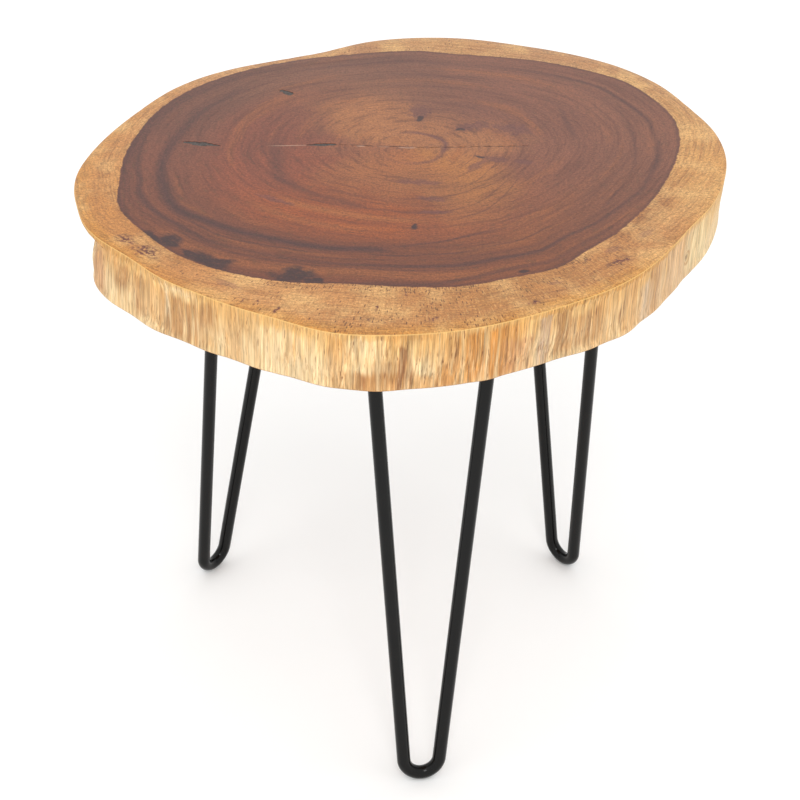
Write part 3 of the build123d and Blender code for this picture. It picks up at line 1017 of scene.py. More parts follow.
# %% Routes of the bands
BANDS = (
    (0.034, (
        (140, 0.851, 0), (150, 0.852, 0.5), (160, 0.839, 0.6), (175, 0.846, 0.7), (185, 0.86, 0.75),
        (197, 0.869, 0.9), (208, 0.85, 1), (216, 0.849, 1), (225, 0.813, 1), (235, 0.784, 1),
        (250, 0.773, 1), (262, 0.77, 0.9), (272, 0.774, 0),
    )),
    (0.009, (
        (195, 0.863, 0), (215, 0.87, 0.5), (222, 0.858, 0.6), (228, 0.845, 0.6), (235, 0.827, 0.6),
        (245, 0.812, 0.5), (268, 0.8, 0),
    )),
    (0.02, (
        (0, 0.928, 0.6), (10, 0.91, 0.5), (20, 0.896, 0.6), (35, 0.887, 0.7), (50, 0.885, 0.5),
        (70, 0.877, 0.25), (90, 0.875, 0.4), (110, 0.885, 0.4), (130, 0.897, 0.2), (150, 0.96, 0.1),
        (160, 0.975, 0.2), (172, 0.968, 0.5), (182, 0.962, 0.7), (192, 0.95, 0.7), (202, 0.933, 0.75),
        (212, 0.913, 0.8), (222, 0.896, 0.8), (230, 0.882, 0.7), (238, 0.865, 0.5), (250, 0.865, 0.5),
        (262, 0.87, 0.7), (275, 0.868, 0.8), (288, 0.867, 0.8), (300, 0.875, 0.8), (312, 0.88, 0.7),
        (322, 0.898, 0.6), (333, 0.913, 0.6), (345, 0.931, 0.5),
    )),
    (0.009, (
        (215, 0.932, 0), (225, 0.913, 0.4), (240, 0.89, 0.4), (255, 0.888, 0.45), (270, 0.896, 0.5),
        (285, 0.891, 0.3), (300, 0.9, 0),
    )),
    (0.019, (
        (254, 0.985, 0), (262, 0.985, 0.3), (275, 0.975, 0.6), (283, 0.955, 0.6), (292, 0.945, 0.5),
        (305, 0.955, 0.45), (318, 0.955, 0.4), (330, 0.97, 0),
    )),
    (0.05, (
        (80, 0.928, 0), (92, 0.928, 0.2), (110, 0.928, 0.5), (130, 0.949, 0.5), (150, 0.965, 0.6),
        (175, 0.975, 0.6), (195, 0.985, 0.5), (210, 0.99, 0.3), (218, 0.99, 0),
    )),
    (0.009, (
        (142, 0.584, 0), (150, 0.589, 0.08), (165, 0.583, 0.15), (178, 0.564, 0.2), (188, 0.543, 0.35),
        (198, 0.518, 0.45), (207, 0.506, 0.5), (218, 0.494, 0.5), (230, 0.499, 0.45), (245, 0.501, 0.5),
        (258, 0.501, 0.55), (270, 0.511, 0.55), (280, 0.514, 0.4), (286, 0.505, 0),
    )),
    (0.05, (
        (170, 0.5, 0), (180, 0.506, 0.25), (195, 0.5, 0.55), (210, 0.509, 0.6), (225, 0.503, 0.4),
        (240, 0.495, 0.5), (250, 0.495, 0.35), (262, 0.5, 0),
    )),
    (0.007, (
        (142, 0.652, 0), (150, 0.656, 0.12), (165, 0.653, 0.2), (178, 0.629, 0.25), (190, 0.613, 0.3),
        (200, 0.597, 0.3), (207, 0.587, 0.2), (214, 0.578, 0),
    )),
    (0.013, (
        (262, 0.746, 0), (268, 0.741, 0.4), (275, 0.716, 0.6), (285, 0.689, 0.7), (295, 0.681, 0.5),
        (303, 0.688, 0.3), (320, 0.679, 0),
    )),
    (0.009, (
        (258, 0.805, 0), (265, 0.804, 0.6), (275, 0.794, 0.5), (283, 0.783, 0.5), (293, 0.776, 0.4),
        (303, 0.779, 0.4), (312, 0.785, 0.2), (320, 0.784, 0),
    )),
    (0.007, (
        (225, 0.826, 0), (235, 0.826, 0.3), (250, 0.832, 0.35), (265, 0.833, 0.3), (280, 0.823, 0.25),
        (295, 0.811, 0),
    )),
    (0.013, (
        (322, 0.857, 0), (330, 0.856, 0.3), (340, 0.846, 0.45), (350, 0.852, 0.3), (360, 0.838, 0.35),
        (370, 0.826, 0.4), (380, 0.814, 0.2), (390, 0.805, 0),
    )),
    (0.02, (
        (8, 0.621, 0), (15, 0.607, 0.4), (25, 0.612, 0.45), (35, 0.652, 0.3), (45, 0.662, 0.25),
        (60, 0.654, 0),
    )),
    (0.005, ((268, 0.411, 0), (275, 0.411, 0.5), (312, 0.386, 0.45), (320, 0.383, 0))),
    (0.005, ((276, 0.51, 0), (283, 0.508, 0.5), (300, 0.48, 0.5), (325, 0.43, 0.4), (333, 0.419, 0))),
    (0.006, ((283, 0.577, 0), (290, 0.562, 0.55), (310, 0.509, 0.5), (330, 0.459, 0.4), (338, 0.45, 0))),
    (0.004, ((292, 0.372, 0), (300, 0.365, 0.45), (345, 0.323, 0.45), (352, 0.326, 0))),
    (0.004, ((310, 0.231, 0), (318, 0.227, 0.45), (350, 0.228, 0.4), (358, 0.233, 0))),
)
PITH_RING_HALF_WIDTH = 0.02
PITH_RING = (
    (0, 0.115, 0.9), (30, 0.125, 0.8), (50, 0.122, 0.8), (70, 0.12, 0.7), (85, 0.124, 0.7),
    (100, 0.124, 0.4), (130, 0.126, 0.1), (200, 0.143, 0.05), (250, 0.139, 0.2), (280, 0.13, 0.45),
    (300, 0.127, 0.5), (320, 0.117, 0.5), (345, 0.11, 0.75),
)
GOLDEN_BANDS = (
    (0.03, ((320, 0.165, 0), (332, 0.162, 0.6), (360, 0.171, 0.6), (370, 0.177, 0.4), (382, 0.184, 0))),
    (0.006, ((270, 0.361, 0), (276, 0.36, 0.5), (286, 0.355, 0.5), (292, 0.352, 0))),
    (0.05, (
        (216, 0.961, 0), (225, 0.946, 0.35), (240, 0.932, 0.4), (256, 0.921, 0.4), (275, 0.921, 0.3),
        (300, 0.93, 0),
    )),
    (0.02, ((222, 0.853, 0), (234, 0.84, 0.3), (250, 0.823, 0.2), (266, 0.823, 0))),
    (0.03, (
        (214, 0.587, 0), (228, 0.58, 0.5), (245, 0.561, 0.7), (262, 0.562, 0.6), (274, 0.569, 0.3),
        (280, 0.579, 0),
    )),
    (0.03, ((215, 0.669, 0), (230, 0.653, 0.4), (250, 0.641, 0.4), (268, 0.629, 0))),
)
print("Bands with a route:", len(BANDS) + len(GOLDEN_BANDS))

# %% [markdown]
# Knots are where thin branches started. Each is a dark mark with a paler smoky tail that points away from
# the pith. A row gives the middle X and Y in millimetres, the turn from +X in degrees, then the length,
# the width and, where it has one, the taper.

# %% Bands, knots and their tails
KNOTS = (
    (7.3, 86.0, 76, 15.0, 5.5, 0.8), (39.5, 70.0, 26, 12.0, 5.5, 0.5), (55.5, 22.0, -14, 11.0, 4.0, 0.5),
)
KNOT_TAILS = (
    (6.5, 98.0, 90, 36, 22, 0.7), (50.0, 76.0, 20, 38, 20, 0.7), (80.0, 76.0, -6, 42, 22, 0.2),
    (65.0, 20.5, -12, 34, 12, 0.5), (90.0, 17.0, -8, 20, 10, 0.2), (54.0, 8.0, 58, 40, 10),
    (8.0, -26.0, 0, 46, 13), (20.0, -52.0, 4, 30, 12), (22.0, -74.0, 6, 34, 8),
    (-98.0, -66.0, -28, 44, 8),
)
KNOT = tint(52, 32, 32)
KNOT_TAIL = tint(100, 58, 54)
KNOT_STRENGTH = 0.92
TAIL_STRENGTH = 0.6
colour = blend(tree, bands(GOLDEN_BANDS), colour, GOLDEN_BAND)
uneven = soft_step(tree, fine_rings, 0.25, 0.55, at_low=0.8, at_high=1.0)
colour = blend(tree, product(tree, bands(BANDS), uneven), colour, DARK_BAND)
pith_ring = routed_band(tree, turn, share, PITH_RING_HALF_WIDTH, PITH_RING)
colour = blend(tree, strongest(tree, [marks(KNOT_TAILS, TAIL_STRENGTH), pith_ring]), colour, KNOT_TAIL)
colour = blend(tree, marks(KNOTS, KNOT_STRENGTH), colour, KNOT)
print("Knots and tails:", len(KNOTS) + len(KNOT_TAILS))

# %% [markdown]
# ## Sapwood
# The sapwood is yellow and has no bands. Next to the heart the young sapwood is browner in places, and
# near the rim it turns golden. Rings show softly, a large mottle lightens it, and where the saw crossed
# the rays, short flecks run outwards, more of them on the side where the wood is coarse.

# %% Sapwood
SAP_TONES = (
    (0, 206, 151, 84), (18, 198, 148, 88), (42, 184, 134, 84), (65, 176, 126, 82), (80, 190, 140, 86),
    (105, 172, 122, 80), (126, 184, 130, 86), (150, 188, 134, 90), (180, 196, 138, 80),
    (210, 188, 126, 62), (230, 188, 127, 68), (245, 201, 144, 86), (262, 190, 133, 76),
    (285, 174, 118, 60), (315, 178, 121, 66), (330, 190, 134, 78), (345, 204, 152, 88),
)
YOUNG_SAP_STRENGTHS = (
    (0, 0.1), (15, 0), (140, 0), (160, 0.2), (185, 0.1), (214, 0.1), (225, 0.6), (236, 0.1), (262, 0.1),
    (272, 0.25), (288, 0.2), (300, 0.05), (316, 0.15), (330, 1.0), (345, 0.5),
)
OUTER_SAP_STRENGTHS = (
    (0, 0.1), (60, 0.3), (180, 0.6), (213, 0.8), (228, 0.6), (240, 0.3), (252, 0.65), (275, 0.6),
    (300, 1.0), (315, 0.85), (326, 0.1), (345, 0.1),
)
FLECK_STRENGTHS = (
    (0, 0.4), (60, 0.2), (150, 0.2), (200, 0.15), (235, 0.25), (262, 0.45), (300, 0.55), (330, 0.5),
)
OUTER_SAP = tint(198, 138, 62)
LIGHT_SAP = tint(222, 176, 112)
SAP_RING = tint(160, 104, 54)
LIGHT_FLECK_SHARE = 0.65
HEART_EDGE_SCALE = 120
RAGGED_HEART_EDGE = 3.2 * MM
YOUNG_FULL, YOUNG_GONE = 6 * MM, 26 * MM
RIM_FULL, RIM_GONE = 2 * MM, 16 * MM
ragged = maths(tree, "SUBTRACT", noise(tree, flat, HEART_EDGE_SCALE, 4, 0.6), 0.5)
past = maths(tree, "MULTIPLY_ADD", ragged, RAGGED_HEART_EDGE, attribute(tree, "past_heart"))
inside = attribute(tree, "inside_rim")
sap = tone_by_direction(tree, turn, SAP_TONES)
young = soft_step(tree, past, YOUNG_FULL, YOUNG_GONE, at_low=1.0, at_high=0.0)
young = product(tree, young, by_direction(tree, turn, YOUNG_SAP_STRENGTHS))
sap = blend(tree, young, sap, SAP_RING)
near_rim = soft_step(tree, inside, RIM_FULL, RIM_GONE, at_low=1.0, at_high=0.0)
near_rim = product(tree, near_rim, by_direction(tree, turn, OUTER_SAP_STRENGTHS))
sap = blend(tree, near_rim, sap, OUTER_SAP)
sap_rings = ring_noise(turns=3.0, rings=66, detail=4)
sap = tinge(tree, sap, SAP_RING, sap_rings, start=0.42, full=0.7, most=0.6)
sap = tinge(tree, sap, LIGHT_SAP, noise(tree, flat, scale=30, detail=4), start=0.42, full=0.7, most=0.6)
flecked = by_direction(tree, turn, FLECK_STRENGTHS)
dark_flecks = product(tree, soft_step(tree, radial_flecks, 0.5, 0.72), flecked)
sap = blend(tree, dark_flecks, sap, SAP_RING)
light_flecks = product(tree, soft_step(tree, radial_flecks, 0.46, 0.3), flecked)
sap = blend(tree, product(tree, light_flecks, LIGHT_FLECK_SHARE), sap, LIGHT_SAP)
print("Nodes so far:", len(tree.nodes))

# %% [markdown]
# Pores are the cut ends of the tree's vessels. A Voronoi texture gives one dot to every cell, and a dot
# is kept where the cell's random number and the wanted density add up to more than 1. Most pores lie in
# a strip just past the heart, in places that a route gives.

# %% Pores of the sapwood
PORES_ROUND = 190.0
PORES_ACROSS = 190.0
PORE_CORE, PORE_EDGE = 0.2, 0.46
STRIP_FULL, STRIP_GONE = 5 * MM, 14 * MM
ROW_FROM_HEART = 5.5 * MM
ROW_HALF_WIDTH = 1.6 * MM
ROW_DIRECTION, ROW_SPREAD = 354 / 360, 14 / 360
ROW_STRENGTH = 0.8
PORE_STRENGTH = 0.8
PORE = tint(76, 42, 24)
INNER_PORES = (
    (0, 0.15), (60, 0.1), (120, 0.08), (180, 0.02), (215, 0.04), (235, 0.12), (243, 0.3), (252, 0.75),
    (276, 0.8), (285, 0.35), (296, 0.2), (303, 0.75), (308, 0.65), (314, 0.15), (319, 0.65), (326, 0.15),
    (339, 0.4), (350, 0.15),
)
OUTER_PORES = (
    (0, 0.03), (90, 0.1), (180, 0.02), (215, 0.04), (235, 0.08), (250, 0.2), (262, 0.32), (276, 0.45),
    (290, 0.32), (310, 0.2), (335, 0.1),
)
pore_place = along_the_rings(PORES_ROUND, past, PORES_ACROSS)
cells = node(tree, "ShaderNodeTexVoronoi", {"Vector": pore_place, "Scale": 1.0})
dot = soft_step(tree, cells.outputs["Distance"], PORE_CORE, PORE_EDGE, at_low=1.0, at_high=0.0)
chosen = node(tree, "ShaderNodeSeparateColor", {0: cells.outputs["Color"]}).outputs[0]
crowd = soft_step(tree, noise(tree, flat, scale=36, detail=3), 0.44, 0.58, at_low=0.12, at_high=1.0)
near_heart = soft_step(tree, past, STRIP_FULL, STRIP_GONE, at_low=1.0, at_high=0.0)
inner = product(tree, by_direction(tree, turn, INNER_PORES), near_heart)
outer_pores = by_direction(tree, turn, OUTER_PORES)
thin_row = band(tree, past, ROW_FROM_HEART, ROW_HALF_WIDTH)
thin_row = product(tree, thin_row, band(tree, turn, ROW_DIRECTION, ROW_SPREAD))
density = maths(tree, "MAXIMUM", inner, product(tree, outer_pores, crowd))
density = maths(tree, "MAXIMUM", density, product(tree, thin_row, ROW_STRENGTH))
kept = soft_step(tree, maths(tree, "ADD", chosen, density), 1.0, 1.02)
pores = product(tree, dot, kept)
sap = blend(tree, product(tree, pores, PORE_STRENGTH), sap, PORE)
print("Nodes so far:", len(tree.nodes))

# %% [markdown]
# ## Stains and the edge of the heart
# Bits of bark grew into the sapwood as red-brown stains, and some were smeared by the sander. The heart
# ends in a thin dark line, and at the front left black blotches eat into it. A fine grain breaks up both
# the stains and the blotches.

# %% Stains, blotches and the line round the heart
BARK_STAINS = (
    (-200.0, -138.0, -46, 22, 14), (-182.0, -154.5, -42, 31, 19), (-108.0, -217.0, 66, 13, 3),
    (-99.0, -219.0, 68, 12, 3), (-84.0, -228.0, 70, 13, 5), (-16.0, -219.0, 85, 13, 3),
    (4.0, -199.0, 90, 10, 3), (23.0, -231.0, 40, 12, 7), (-22.0, -235.0, 20, 7, 4),
    (93.0, -201.0, 25, 13, 6), (133.0, -137.0, 60, 10, 5), (155.0, -137.0, 45, 30, 11),
)
SMEARS = (
    (108.0, -172.0, 25, 16, 7), (152.0, -119.0, 45, 22, 7), (178.0, -92.0, 56, 24, 9),
    (-120.0, -196.0, -30, 30, 10),
)
BLOTCHES = (
    (-168.0, -138.0, -45, 28, 20), (-181.0, -133.0, -45, 30, 13), (-138.2, -162.5, -36, 52, 23),
    (-151.0, -155.0, -40, 24, 12), (-75.6, -179.0, -20, 38, 30), (-62.0, -186.0, -14, 18, 12),
    (86.9, -157.0, 22, 11, 6), (7.2, -99.0, 262, 13, 6),
)
BARK_STAIN = tint(98, 50, 42)
SMEAR = tint(138, 92, 70)
BLOTCH = tint(52, 30, 32)
SMEAR_STRENGTH = 0.45
BLOTCH_STRENGTH = 0.96
LINE_FROM_HEART = -1.2 * MM
LINE_HALF_WIDTH = 2.6 * MM
LINE_STRENGTH = 0.5
SAP_STARTS, SAP_FULL = -0.5 * MM, 0.7 * MM
stain_grain = soft_step(tree, noise(tree, flat, scale=380, detail=3), 0.42, 0.58, at_low=0.1, at_high=0.95)
sap = blend(tree, marks(SMEARS, SMEAR_STRENGTH), sap, SMEAR)
sap = blend(tree, product(tree, marks(BARK_STAINS, 1.0), stain_grain), sap, BARK_STAIN)
heart_line = product(tree, band(tree, past, LINE_FROM_HEART, LINE_HALF_WIDTH), LINE_STRENGTH)
colour = blend(tree, heart_line, colour, DARK_BAND)
blotch_grain = soft_step(tree, noise(tree, flat, scale=260, detail=3), 0.3, 0.5, at_low=0.72, at_high=1.0)
blotches = product(tree, marks(BLOTCHES, BLOTCH_STRENGTH, soft_stray), blotch_grain)
colour = blend(tree, blotches, colour, BLOTCH)
is_sap = soft_step(tree, past, SAP_STARTS, SAP_FULL)
colour = blend(tree, is_sap, colour, sap)
print("Stains, smears and blotches:", len(BARK_STAINS) + len(SMEARS) + len(BLOTCHES))

# %% [markdown]
# ## Grain over everything
# Last come the smallest things, over heart and sap alike: dark and light speckle, hair-thin rings, short
# strokes along them, and a mottle that makes the whole a little lighter or darker from spot to spot. The
# check's dark and pale lines go on top, since they were opened after the wood had grown.

# %% Grain and the lines of the check
PALE_LINES = (
    (-93.0, 26.6, 8, 44, 1.4), (-38.0, 31.2, 0, 9, 1.8), (-20.0, 32.0, 1, 12, 1.2),
    (-1.0, 32.2, 2, 20, 2.0),
)
DARK_LINES = (
    (-36.0, 32.6, 1, 36, 1.7), (-8.0, 33.8, 2, 44, 1.9), (30.0, 36.6, 5, 52, 1.6),
    (74.0, 42.4, 7, 60, 1.2),
)
GRAIN_TONE = tint(76, 40, 26)
PALE_LINE = tint(186, 152, 128)
GRAIN_SCALE, MOTTLE_SCALE = 850, 480
MOTTLE_SWING, STREAK_SWING = 1.5, 1.2
GRAIN_IN_HEIGHT = 0.5
grain = noise(tree, flat, GRAIN_SCALE, 2, 0.6)
speckle = maths(tree, "MULTIPLY_ADD", is_sap, -0.1, 0.5)
speckle = product(tree, soft_step(tree, grain, 0.46, 0.72), speckle)
colour = blend(tree, speckle, colour, GRAIN_TONE)
lighter = maths(tree, "MULTIPLY_ADD", is_sap, 0.12, 0.06)
light_speckle = product(tree, soft_step(tree, grain, 0.42, 0.28), lighter)
colour = blend(tree, light_speckle, colour, LIGHT_SAP)
colour = tinge(tree, colour, GRAIN_TONE, hair_rings, start=0.5, full=0.75, most=0.36)
strokes = maths(tree, "MULTIPLY_ADD", is_sap, -0.2, 0.5)
strokes = product(tree, soft_step(tree, short_strokes, 0.56, 0.76), strokes)
colour = blend(tree, strokes, colour, GRAIN_TONE)
light_strokes = product(tree, soft_step(tree, short_strokes, 0.42, 0.26), lighter)
colour = blend(tree, light_strokes, colour, LIGHT_SAP)
mottle = maths(tree, "SUBTRACT", noise(tree, flat, MOTTLE_SCALE, 3, 0.7), 0.5)
streaks = maths(tree, "SUBTRACT", short_strokes, 0.5)
mottled = maths(tree, "MULTIPLY_ADD", mottle, MOTTLE_SWING, 1.0)
colour = times(tree, colour, maths(tree, "MULTIPLY_ADD", streaks, STREAK_SWING, mottled))
colour = blend(tree, marks(DARK_LINES, 0.6), colour, KNOT)
colour = blend(tree, marks(PALE_LINES, 0.7), colour, PALE_LINE)
result = tree.nodes.new("NodeGroupOutput")
tree.links.new(colour, result.inputs["Colour"])
height = maths(tree, "SUBTRACT", product(tree, grain, GRAIN_IN_HEIGHT), pores)
tree.links.new(height, result.inputs["Height"])
CROSS_CUT_WOOD = tree
print("Cross-cut wood has", len(CROSS_CUT_WOOD.nodes), "nodes")

# %% [markdown]
# ## Lacquered top
# The top is planed smooth and sealed with clear lacquer. That is a colour under a thin shiny coat, which
# greys the wood a little where it mirrors the pale room. The coat's values are the same all over, so they
# sit on the shader itself. Inside the cracks the wood gets a painted shade, darker with depth below the
# top, which the height of a point tells.

# %% Finish of the top
# Colour of the painted shade inside the cracks.
PAINTED_CRACK_SHADE = tint(52, 36, 30)
SHADE_STARTS, SHADE_FULL = 0.05 * MM, 0.4 * MM
RIM_KEPT_CLEAR, CRACKS_FROM = 8 * MM, 10 * MM


def lacquered_top():
    """Clear finished cross-cut wood."""
    material, tree, shader = surface("lacquered cross-cut wood")
    wood = node(tree, "ShaderNodeGroup", node_tree=CROSS_CUT_WOOD).outputs
    height = node(tree, "ShaderNodeSeparateXYZ", {0: place_on_object(tree)}).outputs["Z"]
    depth = maths(tree, "SUBTRACT", SLAB_HIGH.z, height)
    away_from_rim = soft_step(tree, attribute(tree, "inside_rim"), RIM_KEPT_CLEAR, CRACKS_FROM)
    # Painted shade: inside the cracks, away from the rim, the wood darkens with depth below the top.
    in_crack = product(tree, soft_step(tree, depth, SHADE_STARTS, SHADE_FULL), away_from_rim)
    fill(tree, shader, {
        "Base Color": blend(tree, in_crack, wood["Colour"], PAINTED_CRACK_SHADE), "Roughness": 0.45,
        "Specular IOR Level": 0.2, "Coat Weight": 0.2, "Coat Roughness": 0.24,
    })
    bump(tree, shader, wood["Height"], strength=0.12, distance=0.2 * MM)
    return material


top_finish = lacquered_top()
print("Made", top_finish.name)

# %% [markdown]
# ## Live edge
# Under the bark the wall is cream, yellower near the rim, with fine fibres that run up and down.
# Stretching a noise along Z gives fibres, since the grain of the trunk is upright. Inner bark left brown,
# orange and grey stains on it. Each stain has a direction, half a width in degrees and two depths below
# the top. Its edges are made ragged with the same fibres, so it looks torn along the grain.

# %% Stains of the live edge
CREAM = tint(220, 176, 113)
PALE_CREAM = tint(231, 201, 153)
PALE_PATCH = tint(244, 218, 174)
GREEN_CREAM = tint(226, 204, 156)
PALE_GREY = tint(208, 180, 148)
ROSE_TAN = tint(207, 168, 128)
HONEY = tint(208, 154, 84)
STREAK = tint(168, 116, 66)
DEEP_STREAK = tint(138, 86, 48)
ORANGE_STREAK = tint(196, 128, 54)
PINK_STREAK = tint(190, 136, 92)
TAN_STREAK = tint(206, 152, 92)
GREY_STREAK = tint(168, 138, 118)
DASH = tint(118, 70, 36)
# Darker band below the rim: partly the wood's own colour, partly painted shade under the rim's lip.
RIM_BAND_AND_LIP_SHADE = tint(200, 146, 78)
# Painted highlight: light line along the arris of the rim.
ARRIS_HIGHLIGHT = tint(228, 184, 112)
STUMP_TONE = tint(88, 56, 38)
WALL_STAINS = (
    # side and half width in degrees, from and to in millimetres below the top, tone, strength
    (211, 3.0, 10, 48, PINK_STREAK, 0.8), (218.5, 2.8, 7, 29, STREAK, 0.75),
    (214, 4.0, -4, 14, TAN_STREAK, 0.85), (223, 1.8, 7, 42, STREAK, 0.7),
    (226.5, 2.6, 7, 40, TAN_STREAK, 0.6), (232.5, 5.0, 10, 46, STREAK, 0.75),
    (232, 4.0, 2, 9, PALE_PATCH, 0.75), (229.5, 0.7, 8, 30, PALE_PATCH, 0.8),
    (238, 3.0, 5, 28, STREAK, 0.6), (244.5, 3.5, 2, 50, TAN_STREAK, 0.5),
    (252, 5.0, 8, 50, PALE_PATCH, 0.45), (260.5, 1.6, 2, 44, ORANGE_STREAK, 0.4),
    (265, 3.0, 3, 20, PALE_PATCH, 0.5), (267, 5.5, 30, 54, ORANGE_STREAK, 0.7),
    (268.5, 3.0, 20, 42, STREAK, 0.65), (264.5, 1.2, 30, 46, DEEP_STREAK, 0.7),
    (275, 3.0, 34, 54, TAN_STREAK, 0.8), (270.8, 1.1, 9, 50, DEEP_STREAK, 0.85),
    (272, 4.0, -4, 7, STREAK, 0.5), (277.5, 2.0, 26, 50, STREAK, 0.7),
    (284.5, 7.5, 3, 48, ORANGE_STREAK, 0.9), (309, 4.0, 4, 52, TAN_STREAK, 0.5),
    (290.5, 3.2, 16, 48, PINK_STREAK, 0.7), (296, 1.5, 3, 48, GREY_STREAK, 0.75),
    (299.5, 2.4, 3, 44, STREAK, 0.75), (305, 4.0, 12, 42, STREAK, 0.7),
    (313.3, 0.35, 20, 34, DEEP_STREAK, 0.9), (316.5, 3.5, 2, 48, TAN_STREAK, 0.7),
    (321.5, 2.4, 12, 50, PALE_GREY, 0.85), (324.8, 2.2, 2, 48, STREAK, 0.75),
    (334, 10.0, 3, 60, ROSE_TAN, 0.8), (345, 6.0, 5, 42, GREEN_CREAM, 0.7), (8, 5.0, 6, 44, STREAK, 0.7),
    (35, 7.0, 4, 40, ORANGE_STREAK, 0.7), (62, 5.0, 8, 48, STREAK, 0.8),
    (88, 9.0, 2, 48, TAN_STREAK, 0.7), (104, 2.5, 8, 40, GREY_STREAK, 0.8),
    (124, 7.0, 3, 42, ORANGE_STREAK, 0.7), (150, 4.0, 6, 48, DEEP_STREAK, 0.6),
    (172, 8.0, 4, 44, STREAK, 0.7), (192, 6.0, 8, 48, TAN_STREAK, 0.8),
)
# Strengths of the band below the rim, which at the front left also paints the shade under the lip.
RIM_BAND_AND_LIP_SHADE_STRENGTHS = (
    (0, 0.3), (60, 0.5), (120, 0.4), (190, 0.5), (205, 0.7), (224, 0.4), (232, 0.2), (246, 0.25),
    (262, 0.2), (272, 0.5), (282, 0.35), (298, 0.8), (316, 0.95), (325, 1.0), (332, 0.35), (340, 0.2),
)
FIBRE_STRENGTHS = (
    (0, 0.8), (206, 0.8), (236, 0.9), (243, 0.8), (256, 0.8), (261, 1.0), (302, 1.0), (310, 0.9),
    (322, 0.8), (330, 0.7), (350, 0.7),
)
print("Stains round the wall:", len(WALL_STAINS))

# %% [markdown]
# Every look of the wall is read from fibres, which are noises stretched along Z, some fine and some broad.
# A stain is full over the inner third of its half width and gone at 1.4 times it. Fibres push its sides
# and its ends about, so it looks torn. Over the stains lie the darker band below the rim, whose wavy lower
# edge at the front left is also painted shade under the rim's lip, the fibres themselves, a painted
# highlight along the arris of the rim, and the stump.

# %% Finish of the live edge
CORE_OF_STAIN = 1100
EDGE_OF_STAIN = 260
TORN_BY = 16 * MM
SWAYED_BY = 0.012
STUMP_SIZE = (3.4 * MM, 3.4 * MM, 4.6 * MM)


def outline_point(around):
    """Place on the rim's outline in a direction, level with the floor."""
    radius = float(np.interp(around, directions, rim_outline, period=FULL_TURN))
    return radius * math.cos(around), radius * math.sin(around)


def stained(tree, colour, turn, torn, stripes):
    """Colour of the wall with every stain laid over it, by direction and by depth below the top."""
    for side, half, start, end, tone, strength in WALL_STAINS:
        off = maths(tree, "ABSOLUTE", maths(tree, "SUBTRACT", turn, side / 360))
        near = soft_step(tree, off, half / CORE_OF_STAIN, half / EDGE_OF_STAIN, 1.0, 0.0)
        started = soft_step(tree, torn, (start - 2) * MM, (start + 4) * MM)
        ended = soft_step(tree, torn, (end - 8) * MM, (end + 5) * MM, 1.0, 0.0)
        share = product(tree, product(tree, near, product(tree, started, ended)), stripes)
        colour = blend(tree, product(tree, share, strength), colour, tone)
    return colour


def with_stump(tree, colour, place, uneven):
    """Colour of the wall with the dark dimple of the branch stump and the brown ring round it."""
    stump = (*outline_point(STUMP_DIRECTION), STUMP_HEIGHT)
    sized = vector_maths(tree, "DIVIDE", vector_maths(tree, "SUBTRACT", place, stump), STUMP_SIZE)
    reach = swung(tree, uneven, 0.5, vector_maths(tree, "LENGTH", sized))
    colour = blend(tree, product(tree, band(tree, reach, 1.25, 0.4), 0.6), colour, STREAK)
    return blend(tree, soft_step(tree, reach, 0.45, 1.0, 0.85, 0.0), colour, STUMP_TONE)


